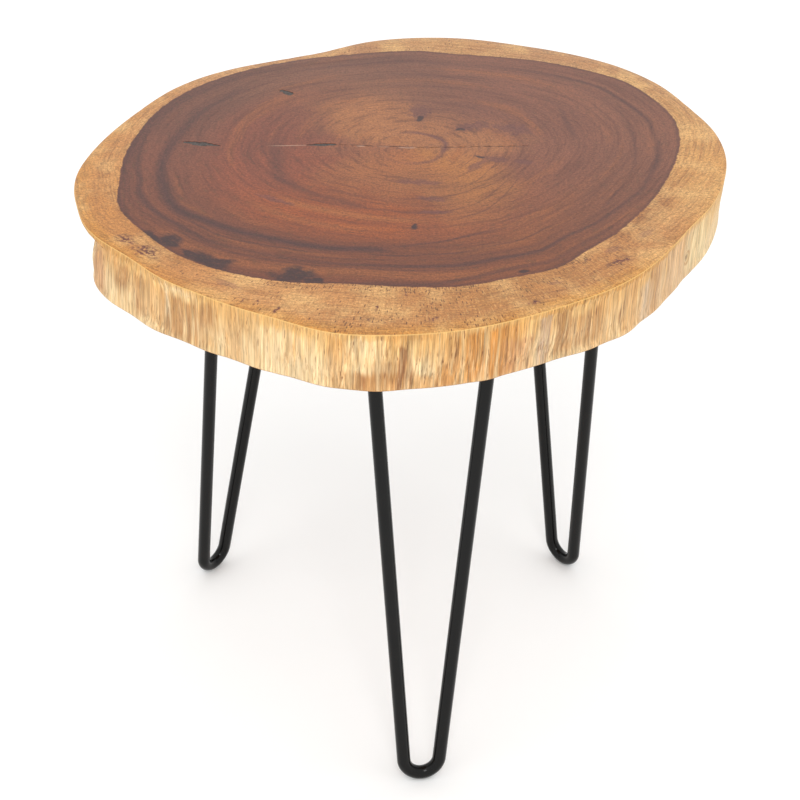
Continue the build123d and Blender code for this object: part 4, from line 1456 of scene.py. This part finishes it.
def live_edge():
    """Bare sanded wood under the bark, with upright fibres and brown streaks."""
    material, tree, shader = surface("live edge")
    place = place_on_object(tree)
    parts = node(tree, "ShaderNodeSeparateXYZ", {0: place}).outputs
    turn = share_of_turn(tree, maths(tree, "ARCTAN2", parts["Y"], parts["X"]))
    depth = maths(tree, "SUBTRACT", SLAB_HIGH.z, parts["Z"])

    def fibres(across, along, detail):
        """Noise drawn out along the trunk."""
        stretched = vector_maths(tree, "MULTIPLY", place, (across, across, along))
        return noise(tree, stretched, 1.0, detail, 0.6)

    fine = fibres(1250, 55, 3)
    middling = fibres(440, 24, 3)
    broad = fibres(60, 14, 3)
    torn = swung(tree, fibres(300, 10, 4), TORN_BY, depth)
    swayed = swung(tree, fibres(130, 22, 3), SWAYED_BY, turn)
    colour = blend(tree, soft_step(tree, depth, 4 * MM, 32 * MM), CREAM, PALE_CREAM)
    colour = tinge(tree, colour, HONEY, broad, start=0.48, full=0.72, most=0.55)
    stripes = soft_step(tree, fibres(190, 9, 4), 0.34, 0.52, 0.25, 1.0)
    colour = stained(tree, colour, swayed, torn, stripes)
    # Band below the rim: the wood's own darker band, and at the front left its wavy lower edge is painted
    # shade under the rim's lip.
    rim_edge = soft_step(tree, torn, 4 * MM, 5.5 * MM, 1.0, 0.0)
    rim = product(tree, rim_edge, by_direction(tree, turn, RIM_BAND_AND_LIP_SHADE_STRENGTHS))
    calm = blend(tree, rim, colour, RIM_BAND_AND_LIP_SHADE)
    colour = tinge(tree, calm, PALE_CREAM, middling, start=0.52, full=0.74, most=0.4)
    colour = tinge(tree, colour, HONEY, middling, start=0.5, full=0.3, most=0.45)
    colour = tinge(tree, colour, STREAK, fine, start=0.5, full=0.72, most=0.75)
    colour = tinge(tree, colour, PALE_CREAM, fine, start=0.42, full=0.26, most=0.4)
    colour = tinge(tree, colour, DASH, fibres(620, 70, 2), start=0.62, full=0.7, most=0.75)
    coarse_fibres = maths(tree, "SUBTRACT", fibres(540, 26, 4), 0.5)
    fine_fibres = maths(tree, "SUBTRACT", fibres(900, 40, 3), 0.5)
    uneven = maths(tree, "MULTIPLY_ADD", coarse_fibres, 1.8, 0.94)
    colour = times(tree, colour, maths(tree, "MULTIPLY_ADD", fine_fibres, 1.3, uneven))
    colour = blend(tree, by_direction(tree, turn, FIBRE_STRENGTHS), calm, colour)
    # Painted highlight: a light line along the arris, where the rounded rim catches the light.
    painted_arris_highlight = soft_step(tree, depth, 0.6 * MM, 1.8 * MM, 0.75, 0.0)
    colour = blend(tree, painted_arris_highlight, colour, ARRIS_HIGHLIGHT)
    colour = with_stump(tree, colour, place, middling)
    fill(tree, shader, {"Base Color": colour, "Roughness": 0.62, "Specular IOR Level": 0.35})
    bump(tree, shader, maths(tree, "ADD", fine, product(tree, middling, 1.5)), 0.4, 0.7 * MM)
    return material


edge_finish = live_edge()
print("Made", edge_finish.name)

# %% [markdown]
# ## Bare underside
# Nobody lacquers what is not seen, so the underside keeps the marks of the saw: shallow curved scores in
# dull, slightly greyed wood. The same node group gives the rings, and a wave with a wide bend gives the
# saw's scores.

# %% Finish of the underside
SAWDUST = tint(176, 142, 110)
SAW_SCORE = tint(98, 70, 52)
SAW_OFFSET = (0.9, 0.4, 0)


def bare_underside():
    """Sawn cross-cut wood without a finish."""
    material, tree, shader = surface("bare sawn wood")
    wood = node(tree, "ShaderNodeGroup", node_tree=CROSS_CUT_WOOD).outputs
    place = place_on_object(tree)
    scores = node(tree, "ShaderNodeTexWave", {
        "Vector": vector_maths(tree, "ADD", place, SAW_OFFSET), "Scale": 90.0,
        "Distortion": 2.0, "Detail": 2.0, "Detail Scale": 2.0,
    }, wave_type="RINGS", rings_direction="Z").outputs["Fac"]
    dust = soft_step(tree, noise(tree, place, 35, 5, 0.6), 0.3, 0.8, 0.4, 0.6)
    colour = blend(tree, dust, wood["Colour"], SAWDUST)
    colour = tinge(tree, colour, SAW_SCORE, scores, start=0.6, full=1.0, most=0.18)
    fill(tree, shader, {"Base Color": colour, "Roughness": 0.85, "Specular IOR Level": 0.2})
    bump(tree, shader, maths(tree, "ADD", scores, wood["Height"]), 0.3, 0.4 * MM)
    return material


underside_finish = bare_underside()
print("Made", underside_finish.name)

# %% [markdown]
# The finishes go on by where a face lies. Faces that look up near the top height are lacquered, faces at
# the underside are bare, and the wall between them is live edge.

# %% Put the finishes on the slab
UPWARDS = 0.35


def shade_smooth(mesh, sharpness):
    """Smooth shading, kept sharp where two faces meet at more than an angle."""
    mesh.shade_smooth()
    mesh.set_sharp_from_angle(angle=sharpness)


def dress_slab(mesh):
    """Gives each face of the slab its finish."""
    for finish in (top_finish, edge_finish, underside_finish):
        mesh.materials.append(finish)
    for face in mesh.polygons:
        height = face.center.z
        in_crack = height > SLAB_HIGH.z - CRACK_DEPTH - MM and face.center.xy.length < WALL_RADIUS
        if in_crack or (face.normal.z > UPWARDS and height > MID_HEIGHT):
            face.material_index = 0
        elif face.normal.z < -UPWARDS or face.center.xy.length < WALL_RADIUS:
            face.material_index = 2
        else:
            face.material_index = 1


slab.data.materials.clear()
dress_slab(slab.data)
shade_smooth(slab.data, SIDE_SHARPNESS)
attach(slab, "root")
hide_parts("slab")
print("Faces by finish:", np.bincount([face.material_index for face in slab.data.polygons]).tolist())

# %% [markdown]
# ## Resin in the cracks
# The filler is dark grey-green resin that shrank a little as it set. A slight mottle and a fine bump keep
# it from looking like a hole.

# %% Resin fillers
RESIN, PALE_RESIN = tint(62, 56, 53), tint(88, 79, 74)


def crack_resin():
    """Dark resin, slightly glossy and mottled."""
    material, tree, shader = surface("dark resin")
    mottle = noise(tree, place_on_object(tree), 700, 3, 0.6)
    fill(tree, shader, {
        "Base Color": blend(tree, soft_step(tree, mottle, 0.35, 0.7), RESIN, PALE_RESIN),
        "Roughness": 0.5, "Specular IOR Level": 0.25,
    })
    bump(tree, shader, mottle, 0.3, 0.2 * MM)
    return material


resin = crack_resin()
for filler, node_name in zip(fills, CRACKS):
    shape = bmesh.new()
    shape.from_mesh(filler.data)
    bmesh.ops.recalc_face_normals(shape, faces=shape.faces)
    bmesh.ops.triangulate(shape, faces=[face for face in shape.faces if len(face.verts) > 4])
    shape.to_mesh(filler.data)
    shape.free()
    filler.data.materials.append(resin)
    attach(filler, "root")
    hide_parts(node_name)
    print(filler.name, "has", len(filler.data.polygons), "faces")

# %% [markdown]
# ## Black paint
# Rods, plates and welds share one gloss black paint. On a real leg it is a little orange-peeled, and
# a few specks of dust sit in it. A low bump gives the peel, and roughness varies with a soft noise. The
# plates are duller, because powder lies thicker on a flat face, and the welds are rougher.

# %% Black paints
BLACK, FADED_BLACK = tint(11, 11, 11), tint(20, 19, 18)
DUST = tint(96, 92, 88)
PATCH_SCALE, SPECK_SCALE = 45, 1500
DUST_STRENGTH = 0.3
PEEL_DEPTH = 0.25 * MM


def black_paint(name, roughness, peel_scale, peel_strength):
    """Black paint with a slight orange peel."""
    material, tree, shader = surface(name)
    place = place_on_object(tree)
    peel = noise(tree, place, peel_scale, 3, 0.55)
    patches = noise(tree, place, PATCH_SCALE, 3, 0.6)
    specks = soft_step(tree, noise(tree, place, SPECK_SCALE, 1, 0.5), 0.72, 0.8)
    tone = blend(tree, patches, BLACK, FADED_BLACK)
    fill(tree, shader, {
        "Base Color": blend(tree, product(tree, specks, DUST_STRENGTH), tone, DUST),
        "Roughness": soft_step(tree, patches, 0.3, 0.7, roughness - 0.05, roughness + 0.07),
        "Specular IOR Level": 0.2,
    })
    bump(tree, shader, peel, peel_strength, PEEL_DEPTH)
    return material


rod_paint = black_paint("gloss black on rod", roughness=0.14, peel_scale=500, peel_strength=0.04)
plate_paint = black_paint("satin black on plate", roughness=0.42, peel_scale=700, peel_strength=0.2)
weld_paint = black_paint("black over weld", roughness=0.36, peel_scale=900, peel_strength=0.3)
print("Made", rod_paint.name, plate_paint.name, weld_paint.name, sep=", ")

# %% [markdown]
# ## Hairpin rods
# One bar makes a whole leg: down one side, round the U at the floor, and up the other. A bar that follows
# a path is a good case for Geometry Nodes. The path is only three points, the two ends and the corner
# where the sides would meet. Fillet Curve rounds that corner to the bend, and Curve to Mesh runs a circle
# along it. The ends are then cut level against the plate, by sliding the end points along the bar.

# %% Tree that sweeps a bar
BAR_SIDES = 40
BEND_STEPS = 48


def add_inputs(tree, sockets):
    """Adds a geometry input and output, and the named size inputs with their defaults."""
    tree.interface.new_socket(name="Geometry", in_out="INPUT", socket_type="NodeSocketGeometry")
    tree.interface.new_socket(name="Geometry", in_out="OUTPUT", socket_type="NodeSocketGeometry")
    for name, kind, value in sockets:
        socket = tree.interface.new_socket(name=name, in_out="INPUT", socket_type=kind)
        if value is not None:
            socket.default_value = value
    return tree.nodes.new("NodeGroupInput").outputs


def bar_tree():
    """Geometry Nodes tree: a corner path becomes a bent round bar."""
    tree = bpy.data.node_groups.new("bent bar", "GeometryNodeTree")
    given = add_inputs(tree, (
        ("Bar Radius", "NodeSocketFloat", ROD_RADIUS), ("Bend Radius", "NodeSocketFloat", U_BEND_RADIUS),
        ("Bend Steps", "NodeSocketInt", BEND_STEPS), ("Bar Sides", "NodeSocketInt", BAR_SIDES),
        ("Paint", "NodeSocketMaterial", None),
    ))
    path = node(tree, "GeometryNodeMeshToCurve", {"Mesh": given["Geometry"]}).outputs[0]
    bent = node(tree, "GeometryNodeFilletCurve", {
        "Curve": path, "Radius": given["Bend Radius"], "Count": given["Bend Steps"],
    }, mode="POLY").outputs[0]
    section = node(tree, "GeometryNodeCurvePrimitiveCircle", {
        "Resolution": given["Bar Sides"], "Radius": given["Bar Radius"],
    }).outputs[0]
    bar = node(tree, "GeometryNodeCurveToMesh", {"Curve": bent, "Profile Curve": section, "Fill Caps": True})
    real = node(tree, "GeometryNodeRealizeInstances", {"Geometry": bar.outputs[0]}).outputs[0]
    painted = node(tree, "GeometryNodeSetMaterial", {"Geometry": real, "Material": given["Paint"]}).outputs[0]
    result = tree.nodes.new("NodeGroupOutput")
    tree.links.new(painted, result.inputs[0])
    return tree


def run_tree(piece, tree, values):
    """Runs a Geometry Nodes tree on an object with named inputs, and leaves a plain mesh."""
    modifier = piece.modifiers.new("build", "NODES")
    modifier.node_group = tree
    for item in tree.interface.items_tree:
        if item.item_type == "SOCKET" and item.in_out == "INPUT" and item.name in values:
            modifier[item.identifier] = values[item.name]
    mesh = evaluated_mesh(piece, piece.name)
    piece.modifiers.clear()
    piece.data = mesh


BENT_BAR = bar_tree()
print("Bar tree has", len(BENT_BAR.nodes), "nodes")

# %% Hairpin rods
ROD_SHARPNESS = math.radians(60)
SAME_PLACE = 0.001 * MM


def wire(name, points):
    """Object of one chain of edges, the path for a sweep."""
    mesh = bpy.data.meshes.new(name)
    mesh.from_pydata([tuple(point) for point in points], [(k, k + 1) for k in range(len(points) - 1)], [])
    return linked(name, mesh)


def cut_level(mesh, ends, corner):
    """Slides the points at the bar's ends along the bar, onto the underside of the plate."""
    near_top = PLATE_UNDERSIDE - ROD_RADIUS
    for vertex in mesh.vertices:
        if vertex.co.z > near_top:
            end = min(ends, key=lambda place: (place - vertex.co).length)
            along = (end - corner).normalized()
            vertex.co += along * ((PLATE_UNDERSIDE - vertex.co.z) / along.z)


def outward(mesh):
    """Turns every face of a closed mesh outwards, after its doubles are merged."""
    shape = bmesh.new()
    shape.from_mesh(mesh)
    bmesh.ops.remove_doubles(shape, verts=shape.verts, dist=SAME_PLACE)
    bmesh.ops.recalc_face_normals(shape, faces=shape.faces)
    shape.to_mesh(mesh)
    shape.free()


for name, (ends, corner) in hairpins.items():
    rod = wire(name + "_rod", (ends[0], corner, ends[1]))
    run_tree(rod, BENT_BAR, {"Paint": rod_paint, "Bar Radius": ROD_RADIUS, "Bend Radius": U_BEND_RADIUS})
    cut_level(rod.data, ends, corner)
    outward(rod.data)
    shade_smooth(rod.data, ROD_SHARPNESS)
    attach(rod, "root")
    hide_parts(name + "_hairpin_rod")
    lowest = min(vertex.co.z for vertex in rod.data.vertices)
    print(rod.name, "has", len(rod.data.polygons), "faces and reaches down to", round(lowest * 1000, 3), "mm")

# %% [markdown]
# ## Mounting plates
# Each plate is cut from 4 mm steel with rounded corners and four holes. A filled 2D curve does this well:
# holes are just smaller closed splines inside the outline, and extrude and bevel give the thickness and
# the softened edges, which the offset keeps within the plate's size.

# %% Mounting plates
PLATE_EDGE = 0.35 * MM
CORNER_STEPS = 10
HOLE_STEPS = 36
PLATE_SHARPNESS = math.radians(35)


def closed_spline(curve, points):
    """Adds one closed polygon to a flat curve."""
    spline = curve.splines.new("POLY")
    spline.points.add(len(points) - 1)
    for target, (x, y) in zip(spline.points, points):
        target.co = (x, y, 0, 1)
    spline.use_cyclic_u = True


def arc(middle, radius, start, end, steps):
    """Points on an arc between two angles in degrees."""
    angles = [math.radians(start + (end - start) * step / steps) for step in range(steps + 1)]
    return [(middle[0] + radius * math.cos(angle), middle[1] + radius * math.sin(angle)) for angle in angles]


def plate_outline():
    """Rounded rectangle of the plate."""
    x = PLATE_LENGTH / 2 - PLATE_CORNER_RADIUS
    y = PLATE_WIDTH / 2 - PLATE_CORNER_RADIUS
    points = []
    for corner_number, (a, b) in enumerate(((1, 1), (-1, 1), (-1, -1), (1, -1))):
        turned = corner_number * 90
        points += arc((a * x, b * y), PLATE_CORNER_RADIUS, turned, turned + 90, CORNER_STEPS)
    return points


def plate_mesh(name, ends):
    """Mesh of one mounting plate in its place."""
    curve = bpy.data.curves.new(name, "CURVE")
    curve.dimensions = "2D"
    curve.fill_mode = "BOTH"
    closed_spline(curve, plate_outline())
    for place in screw_places(ends):
        local = plate_frame(ends).inverted() @ place
        closed_spline(curve, arc(local.xy, PLATE_HOLE_RADIUS, 0, 360 - 360 / HOLE_STEPS, HOLE_STEPS - 1))
    curve.extrude = PLATE_THICKNESS / 2 - PLATE_EDGE
    curve.bevel_depth = PLATE_EDGE
    curve.bevel_resolution = 2
    curve.offset = -PLATE_EDGE
    holder = linked(name, curve)
    mesh = evaluated_mesh(holder, name)
    bpy.data.objects.remove(holder)
    mesh.transform(plate_frame(ends) @ Matrix.Translation((0, 0, PLATE_THICKNESS / 2)))
    outward(mesh)
    return mesh


for name, (ends, corner) in hairpins.items():
    mesh = plate_mesh(name + "_plate", ends)
    plate = linked(name + "_plate", mesh)
    mesh.materials.clear()
    mesh.materials.append(plate_paint)
    shade_smooth(mesh, PLATE_SHARPNESS)
    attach(plate, "root")
    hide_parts(name + "_mounting_plate")
    print(plate.name, "has", len(mesh.polygons), "faces")

# %% [markdown]
# ## Weld beads
# A weld laid by hand is a ring of overlapping puddles. The bead is lathed round the bar: a bulging
# section from the bar to the plate, whose reach swells and shrinks a little from puddle to puddle. It is
# slid along the leaning bar, so that it sits square in the corner.

# %% Weld beads
WELD_HEIGHT = 4.2 * MM
WELD_REACH = 3.9 * MM
WELD_PUDDLES = 17
WELD_RIPPLE = 0.1
WELD_STEPS = 102
WELD_SHARPNESS = math.radians(50)
WELD_SECTION = (
    (0.0, 0.0), (0.98, 0.0), (1.0, 0.12), (0.82, 0.42), (0.6, 0.66), (0.36, 0.86), (0.12, 1.0), (0.0, 1.0),
)


def weld_rings(end, corner):
    """Closed section after section of a bead round one rod end."""
    along = (end - corner).normalized()
    side = along.orthogonal().normalized()
    other = along.cross(side)
    rings = []
    for step in range(WELD_STEPS):
        angle = FULL_TURN * step / WELD_STEPS
        out = side * math.cos(angle) + other * math.sin(angle)
        swell = 1 - WELD_RIPPLE * abs(math.sin(angle * WELD_PUDDLES / 2))
        level_out = Vector((out.x, out.y, 0)).normalized()
        on_bar = end + out * ROD_RADIUS
        on_bar += along * ((PLATE_UNDERSIDE - on_bar.z) / along.z)
        rings.append([
            on_bar + level_out * reach * WELD_REACH * swell - along * height * WELD_HEIGHT * swell
            for reach, height in WELD_SECTION
        ])
    return rings


def ring_of_sections(rings):
    """Points and faces of a closed tube of sections that meets itself."""
    count = len(rings[0])
    points = [point for ring in rings for point in ring]
    faces = []
    for index in range(len(rings)):
        here, beyond = index * count, (index + 1) % len(rings) * count
        for k in range(count):
            beside = (k + 1) % count
            faces.append([here + k, here + beside, beyond + beside, beyond + k])
    return points, faces


for name, (ends, corner) in hairpins.items():
    beads = joined([new_piece("bead", *ring_of_sections(weld_rings(end, corner))) for end in ends])
    beads.name = beads.data.name = name + "_welds"
    beads.data.materials.append(weld_paint)
    shade_smooth(beads.data, WELD_SHARPNESS)
    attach(beads, "root")
    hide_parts(name + "_weld_beads")
    print(beads.name, "has", len(beads.data.polygons), "faces")

# %% [markdown]
# ## Wood screws
# Four pan-head screws hold each plate. All twelve are the same screw, so it is modelled once, lathed from
# a half profile with a cross recess cut in its head, and Geometry Nodes sets a copy on each of the four
# points of a plate. The shank has a real thread, as a screw taken out of the wood would show.

# %% One wood screw
HEAD_RADIUS = 4.7 * MM
HEAD_HEIGHT = 3.2 * MM
TIP_LENGTH = 5.0 * MM
THREAD_PITCH = 1.8 * MM
THREAD_DEPTH = 0.45 * MM
PLAIN_SHANK = 6.0 * MM
RECESS_SPAN = 4.8 * MM
RECESS_WIDTH = 1.1 * MM
RECESS_DEPTH = 1.7 * MM
RECESS_MOUTH, RECESS_FLOOR = 1.15, 0.7
THREAD_ABOVE_SHANK = 0.1 * MM
TIP_RADIUS = 0.05 * MM
SCREW_SIDES = 32
STEPS_PER_PITCH = 6
HEAD_PROFILE = (
    (0.28, 1.0), (0.5, 0.985), (0.68, 0.93), (0.82, 0.83), (0.92, 0.68), (0.98, 0.47), (1.0, 0.22),
    (0.99, 0.0),
)
SQUARE = ((-1, -1), (1, -1), (1, 1), (-1, 1))


def screw_radius(height, angle):
    """Radius of the shank at a height above the head, with its thread and its tip."""
    if height < PLAIN_SHANK:
        return SCREW_RADIUS - THREAD_ABOVE_SHANK
    turn_share = (height / THREAD_PITCH - angle / FULL_TURN) % 1
    ridge = max(0.0, 1 - abs(turn_share - 0.5) * 4)
    body = SCREW_RADIUS - THREAD_DEPTH * (1 - ridge)
    taper = min(1.0, (SCREW_LENGTH - height) / TIP_LENGTH)
    return max(body * taper, TIP_RADIUS)


def screw_piece():
    """Screw that points up, the underside of its head at the origin."""
    angles = [FULL_TURN * step / SCREW_SIDES for step in range(SCREW_SIDES)]
    rings = []
    for share, drop in HEAD_PROFILE:
        rings.append([
            (share * HEAD_RADIUS * math.cos(a), share * HEAD_RADIUS * math.sin(a), -drop * HEAD_HEIGHT)
            for a in angles
        ])
    steps = int(SCREW_LENGTH / THREAD_PITCH * STEPS_PER_PITCH)
    for step in range(steps + 1):
        height = SCREW_LENGTH * step / steps
        radii = [screw_radius(height, a) for a in angles]
        rings.append([(r * math.cos(a), r * math.sin(a), height) for r, a in zip(radii, angles)])
    loops = [np.array(ring) for ring in rings]
    points, faces = closed_skin(loops, (0, 0, -HEAD_HEIGHT), (0, 0, SCREW_LENGTH))
    piece = new_piece("screw", points, faces)
    outward(piece.data)
    return piece


def recess_cutter():
    """Two closed arms that together cut the cross-shaped recess of the head."""
    arms = []
    low, high = -HEAD_HEIGHT - MM, -HEAD_HEIGHT + RECESS_DEPTH
    for x, y in ((RECESS_SPAN / 2, RECESS_WIDTH / 2), (RECESS_WIDTH / 2, RECESS_SPAN / 2)):
        corners = [(a * x * RECESS_MOUTH, b * y * RECESS_MOUTH, low) for a, b in SQUARE]
        corners += [(a * x * RECESS_FLOOR, b * y * RECESS_FLOOR, high) for a, b in SQUARE]
        sides = [[k, (k + 1) % 4, (k + 1) % 4 + 4, k + 4] for k in range(4)]
        arm = new_piece("arm", corners, [[3, 2, 1, 0], [4, 5, 6, 7], *sides])
        outward(arm.data)
        arms.append(arm)
    return arms


screw = screw_piece()
for arm in recess_cutter():
    cut(screw, arm)
print("Screw has", len(screw.data.polygons), "faces")

# %% Zinc finish
ZINC, YELLOW_ZINC = tint(186, 184, 176), tint(206, 200, 180)


def zinc():
    """Zinc plating with a faint yellowish mottle."""
    material, tree, shader = surface("zinc plate")
    mottle = noise(tree, place_on_object(tree), 500, 3, 0.6)
    fill(tree, shader, {
        "Base Color": blend(tree, soft_step(tree, mottle, 0.35, 0.7), ZINC, YELLOW_ZINC),
        "Roughness": soft_step(tree, mottle, 0.3, 0.7, 0.26, 0.42), "Metallic": 1.0,
    })
    bump(tree, shader, mottle, 0.15, 0.1 * MM)
    return material


zinc_finish = zinc()
print("Made", zinc_finish.name)

# %% Set a screw on every hole
RANDOM_MOST, RANDOM_RESULT = 3, 1
SCREW_SHARPNESS = math.radians(40)


def screw_tree():
    """Geometry Nodes tree: a copy of the screw on each point, turned by its own random angle."""
    tree = bpy.data.node_groups.new("screws on points", "GeometryNodeTree")
    given = add_inputs(tree, (
        ("Screw", "NodeSocketObject", None), ("Seed", "NodeSocketInt", SEED),
        ("Finish", "NodeSocketMaterial", None),
    ))
    one = node(tree, "GeometryNodeObjectInfo", {"Object": given["Screw"]}).outputs["Geometry"]
    inputs = {RANDOM_MOST: math.pi, "Seed": given["Seed"]}
    angle = node(tree, "FunctionNodeRandomValue", inputs, data_type="FLOAT").outputs[RANDOM_RESULT]
    turn = node(tree, "ShaderNodeCombineXYZ", {"Z": angle}).outputs[0]
    set_out = node(tree, "GeometryNodeInstanceOnPoints", {
        "Points": given["Geometry"], "Instance": one, "Rotation": turn,
    }).outputs[0]
    real = node(tree, "GeometryNodeRealizeInstances", {"Geometry": set_out}).outputs[0]
    plated = node(tree, "GeometryNodeSetMaterial", {"Geometry": real, "Material": given["Finish"]}).outputs[0]
    result = tree.nodes.new("NodeGroupOutput")
    tree.links.new(plated, result.inputs[0])
    return tree


SCREWS_ON_POINTS = screw_tree()
for number, (name, (ends, corner)) in enumerate(hairpins.items()):
    screws = new_piece(name + "_screws", screw_places(ends), [])
    run_tree(screws, SCREWS_ON_POINTS, {"Screw": screw, "Seed": SEED + number, "Finish": zinc_finish})
    shade_smooth(screws.data, SCREW_SHARPNESS)
    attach(screws, "root")
    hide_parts(name + "_plate_screws")
    print(screws.name, "has", len(screws.data.polygons), "faces")
remove(screw)

# %% [markdown]
# ## Room and light
# The table stands on a plain near-white floor in an even, bright room, so its shadow is faint. Soft boxes
# could do it alone, but a white world lights all sides alike, and one wide soft light above the front
# gives the wood a little shape. A smaller lamp, further to the front, makes the glints on the rods.

# %% Floor
FLOOR_HALF = 6.0
FLOOR_TONE, PALE_FLOOR_TONE = tint(250, 250, 249), tint(254, 254, 253)


def floor_finish():
    """Near-white floor with a barely visible mottle."""
    material, tree, shader = surface("pale floor")
    fill(tree, shader, {
        "Base Color": blend(tree, noise(tree, place_on_object(tree), 6, 3), FLOOR_TONE, PALE_FLOOR_TONE),
        "Roughness": 0.9, "Specular IOR Level": 0.1,
    })
    return material


corners = [(a * FLOOR_HALF, b * FLOOR_HALF, 0) for a, b in SQUARE]
floor = new_piece("floor", corners, [[0, 1, 2, 3]])
floor.data.materials.append(floor_finish())
print("Floor is", FLOOR_HALF * 2, "m wide")

# %% Light
ROOM_LIGHT = 1.09
SOFT_BOX_POWER = 5.0
SOFT_BOX_SIZE = 2.6
SOFT_BOX_PLACE = Vector((-0.9, -1.5, 2.6))
GLINT_POWER = 25.0
GLINT_SIZE = 0.85
GLINT_PLACE = Vector((0.1, -2.4, 2.7))


def room():
    """White world that lights the table evenly."""
    world = bpy.data.worlds.new("room")
    world.use_nodes = True
    background = world.node_tree.nodes["Background"]
    background.inputs["Color"].default_value = (1.0, 1.0, 1.0, 1.0)
    background.inputs["Strength"].default_value = ROOM_LIGHT
    scene.world = world


def square_light(name, place, power, size, target):
    """Square light that looks at a target."""
    lamp = bpy.data.lights.new(name, "AREA")
    lamp.energy = power
    lamp.size = size
    holder = linked(name, lamp)
    holder.location = place
    holder.rotation_euler = (target - place).to_track_quat("-Z", "Y").to_euler()


room()
square_light("soft_box", SOFT_BOX_PLACE, SOFT_BOX_POWER, SOFT_BOX_SIZE, Vector((0, 0, SLAB_HIGH.z)))
square_light("glint_lamp", GLINT_PLACE, GLINT_POWER, GLINT_SIZE, Vector((0, 0, 0)))
scene.view_settings.view_transform = "Standard"
print("Lit by the room,", SOFT_BOX_POWER, "W from a soft box and", GLINT_POWER, "W from a small lamp")
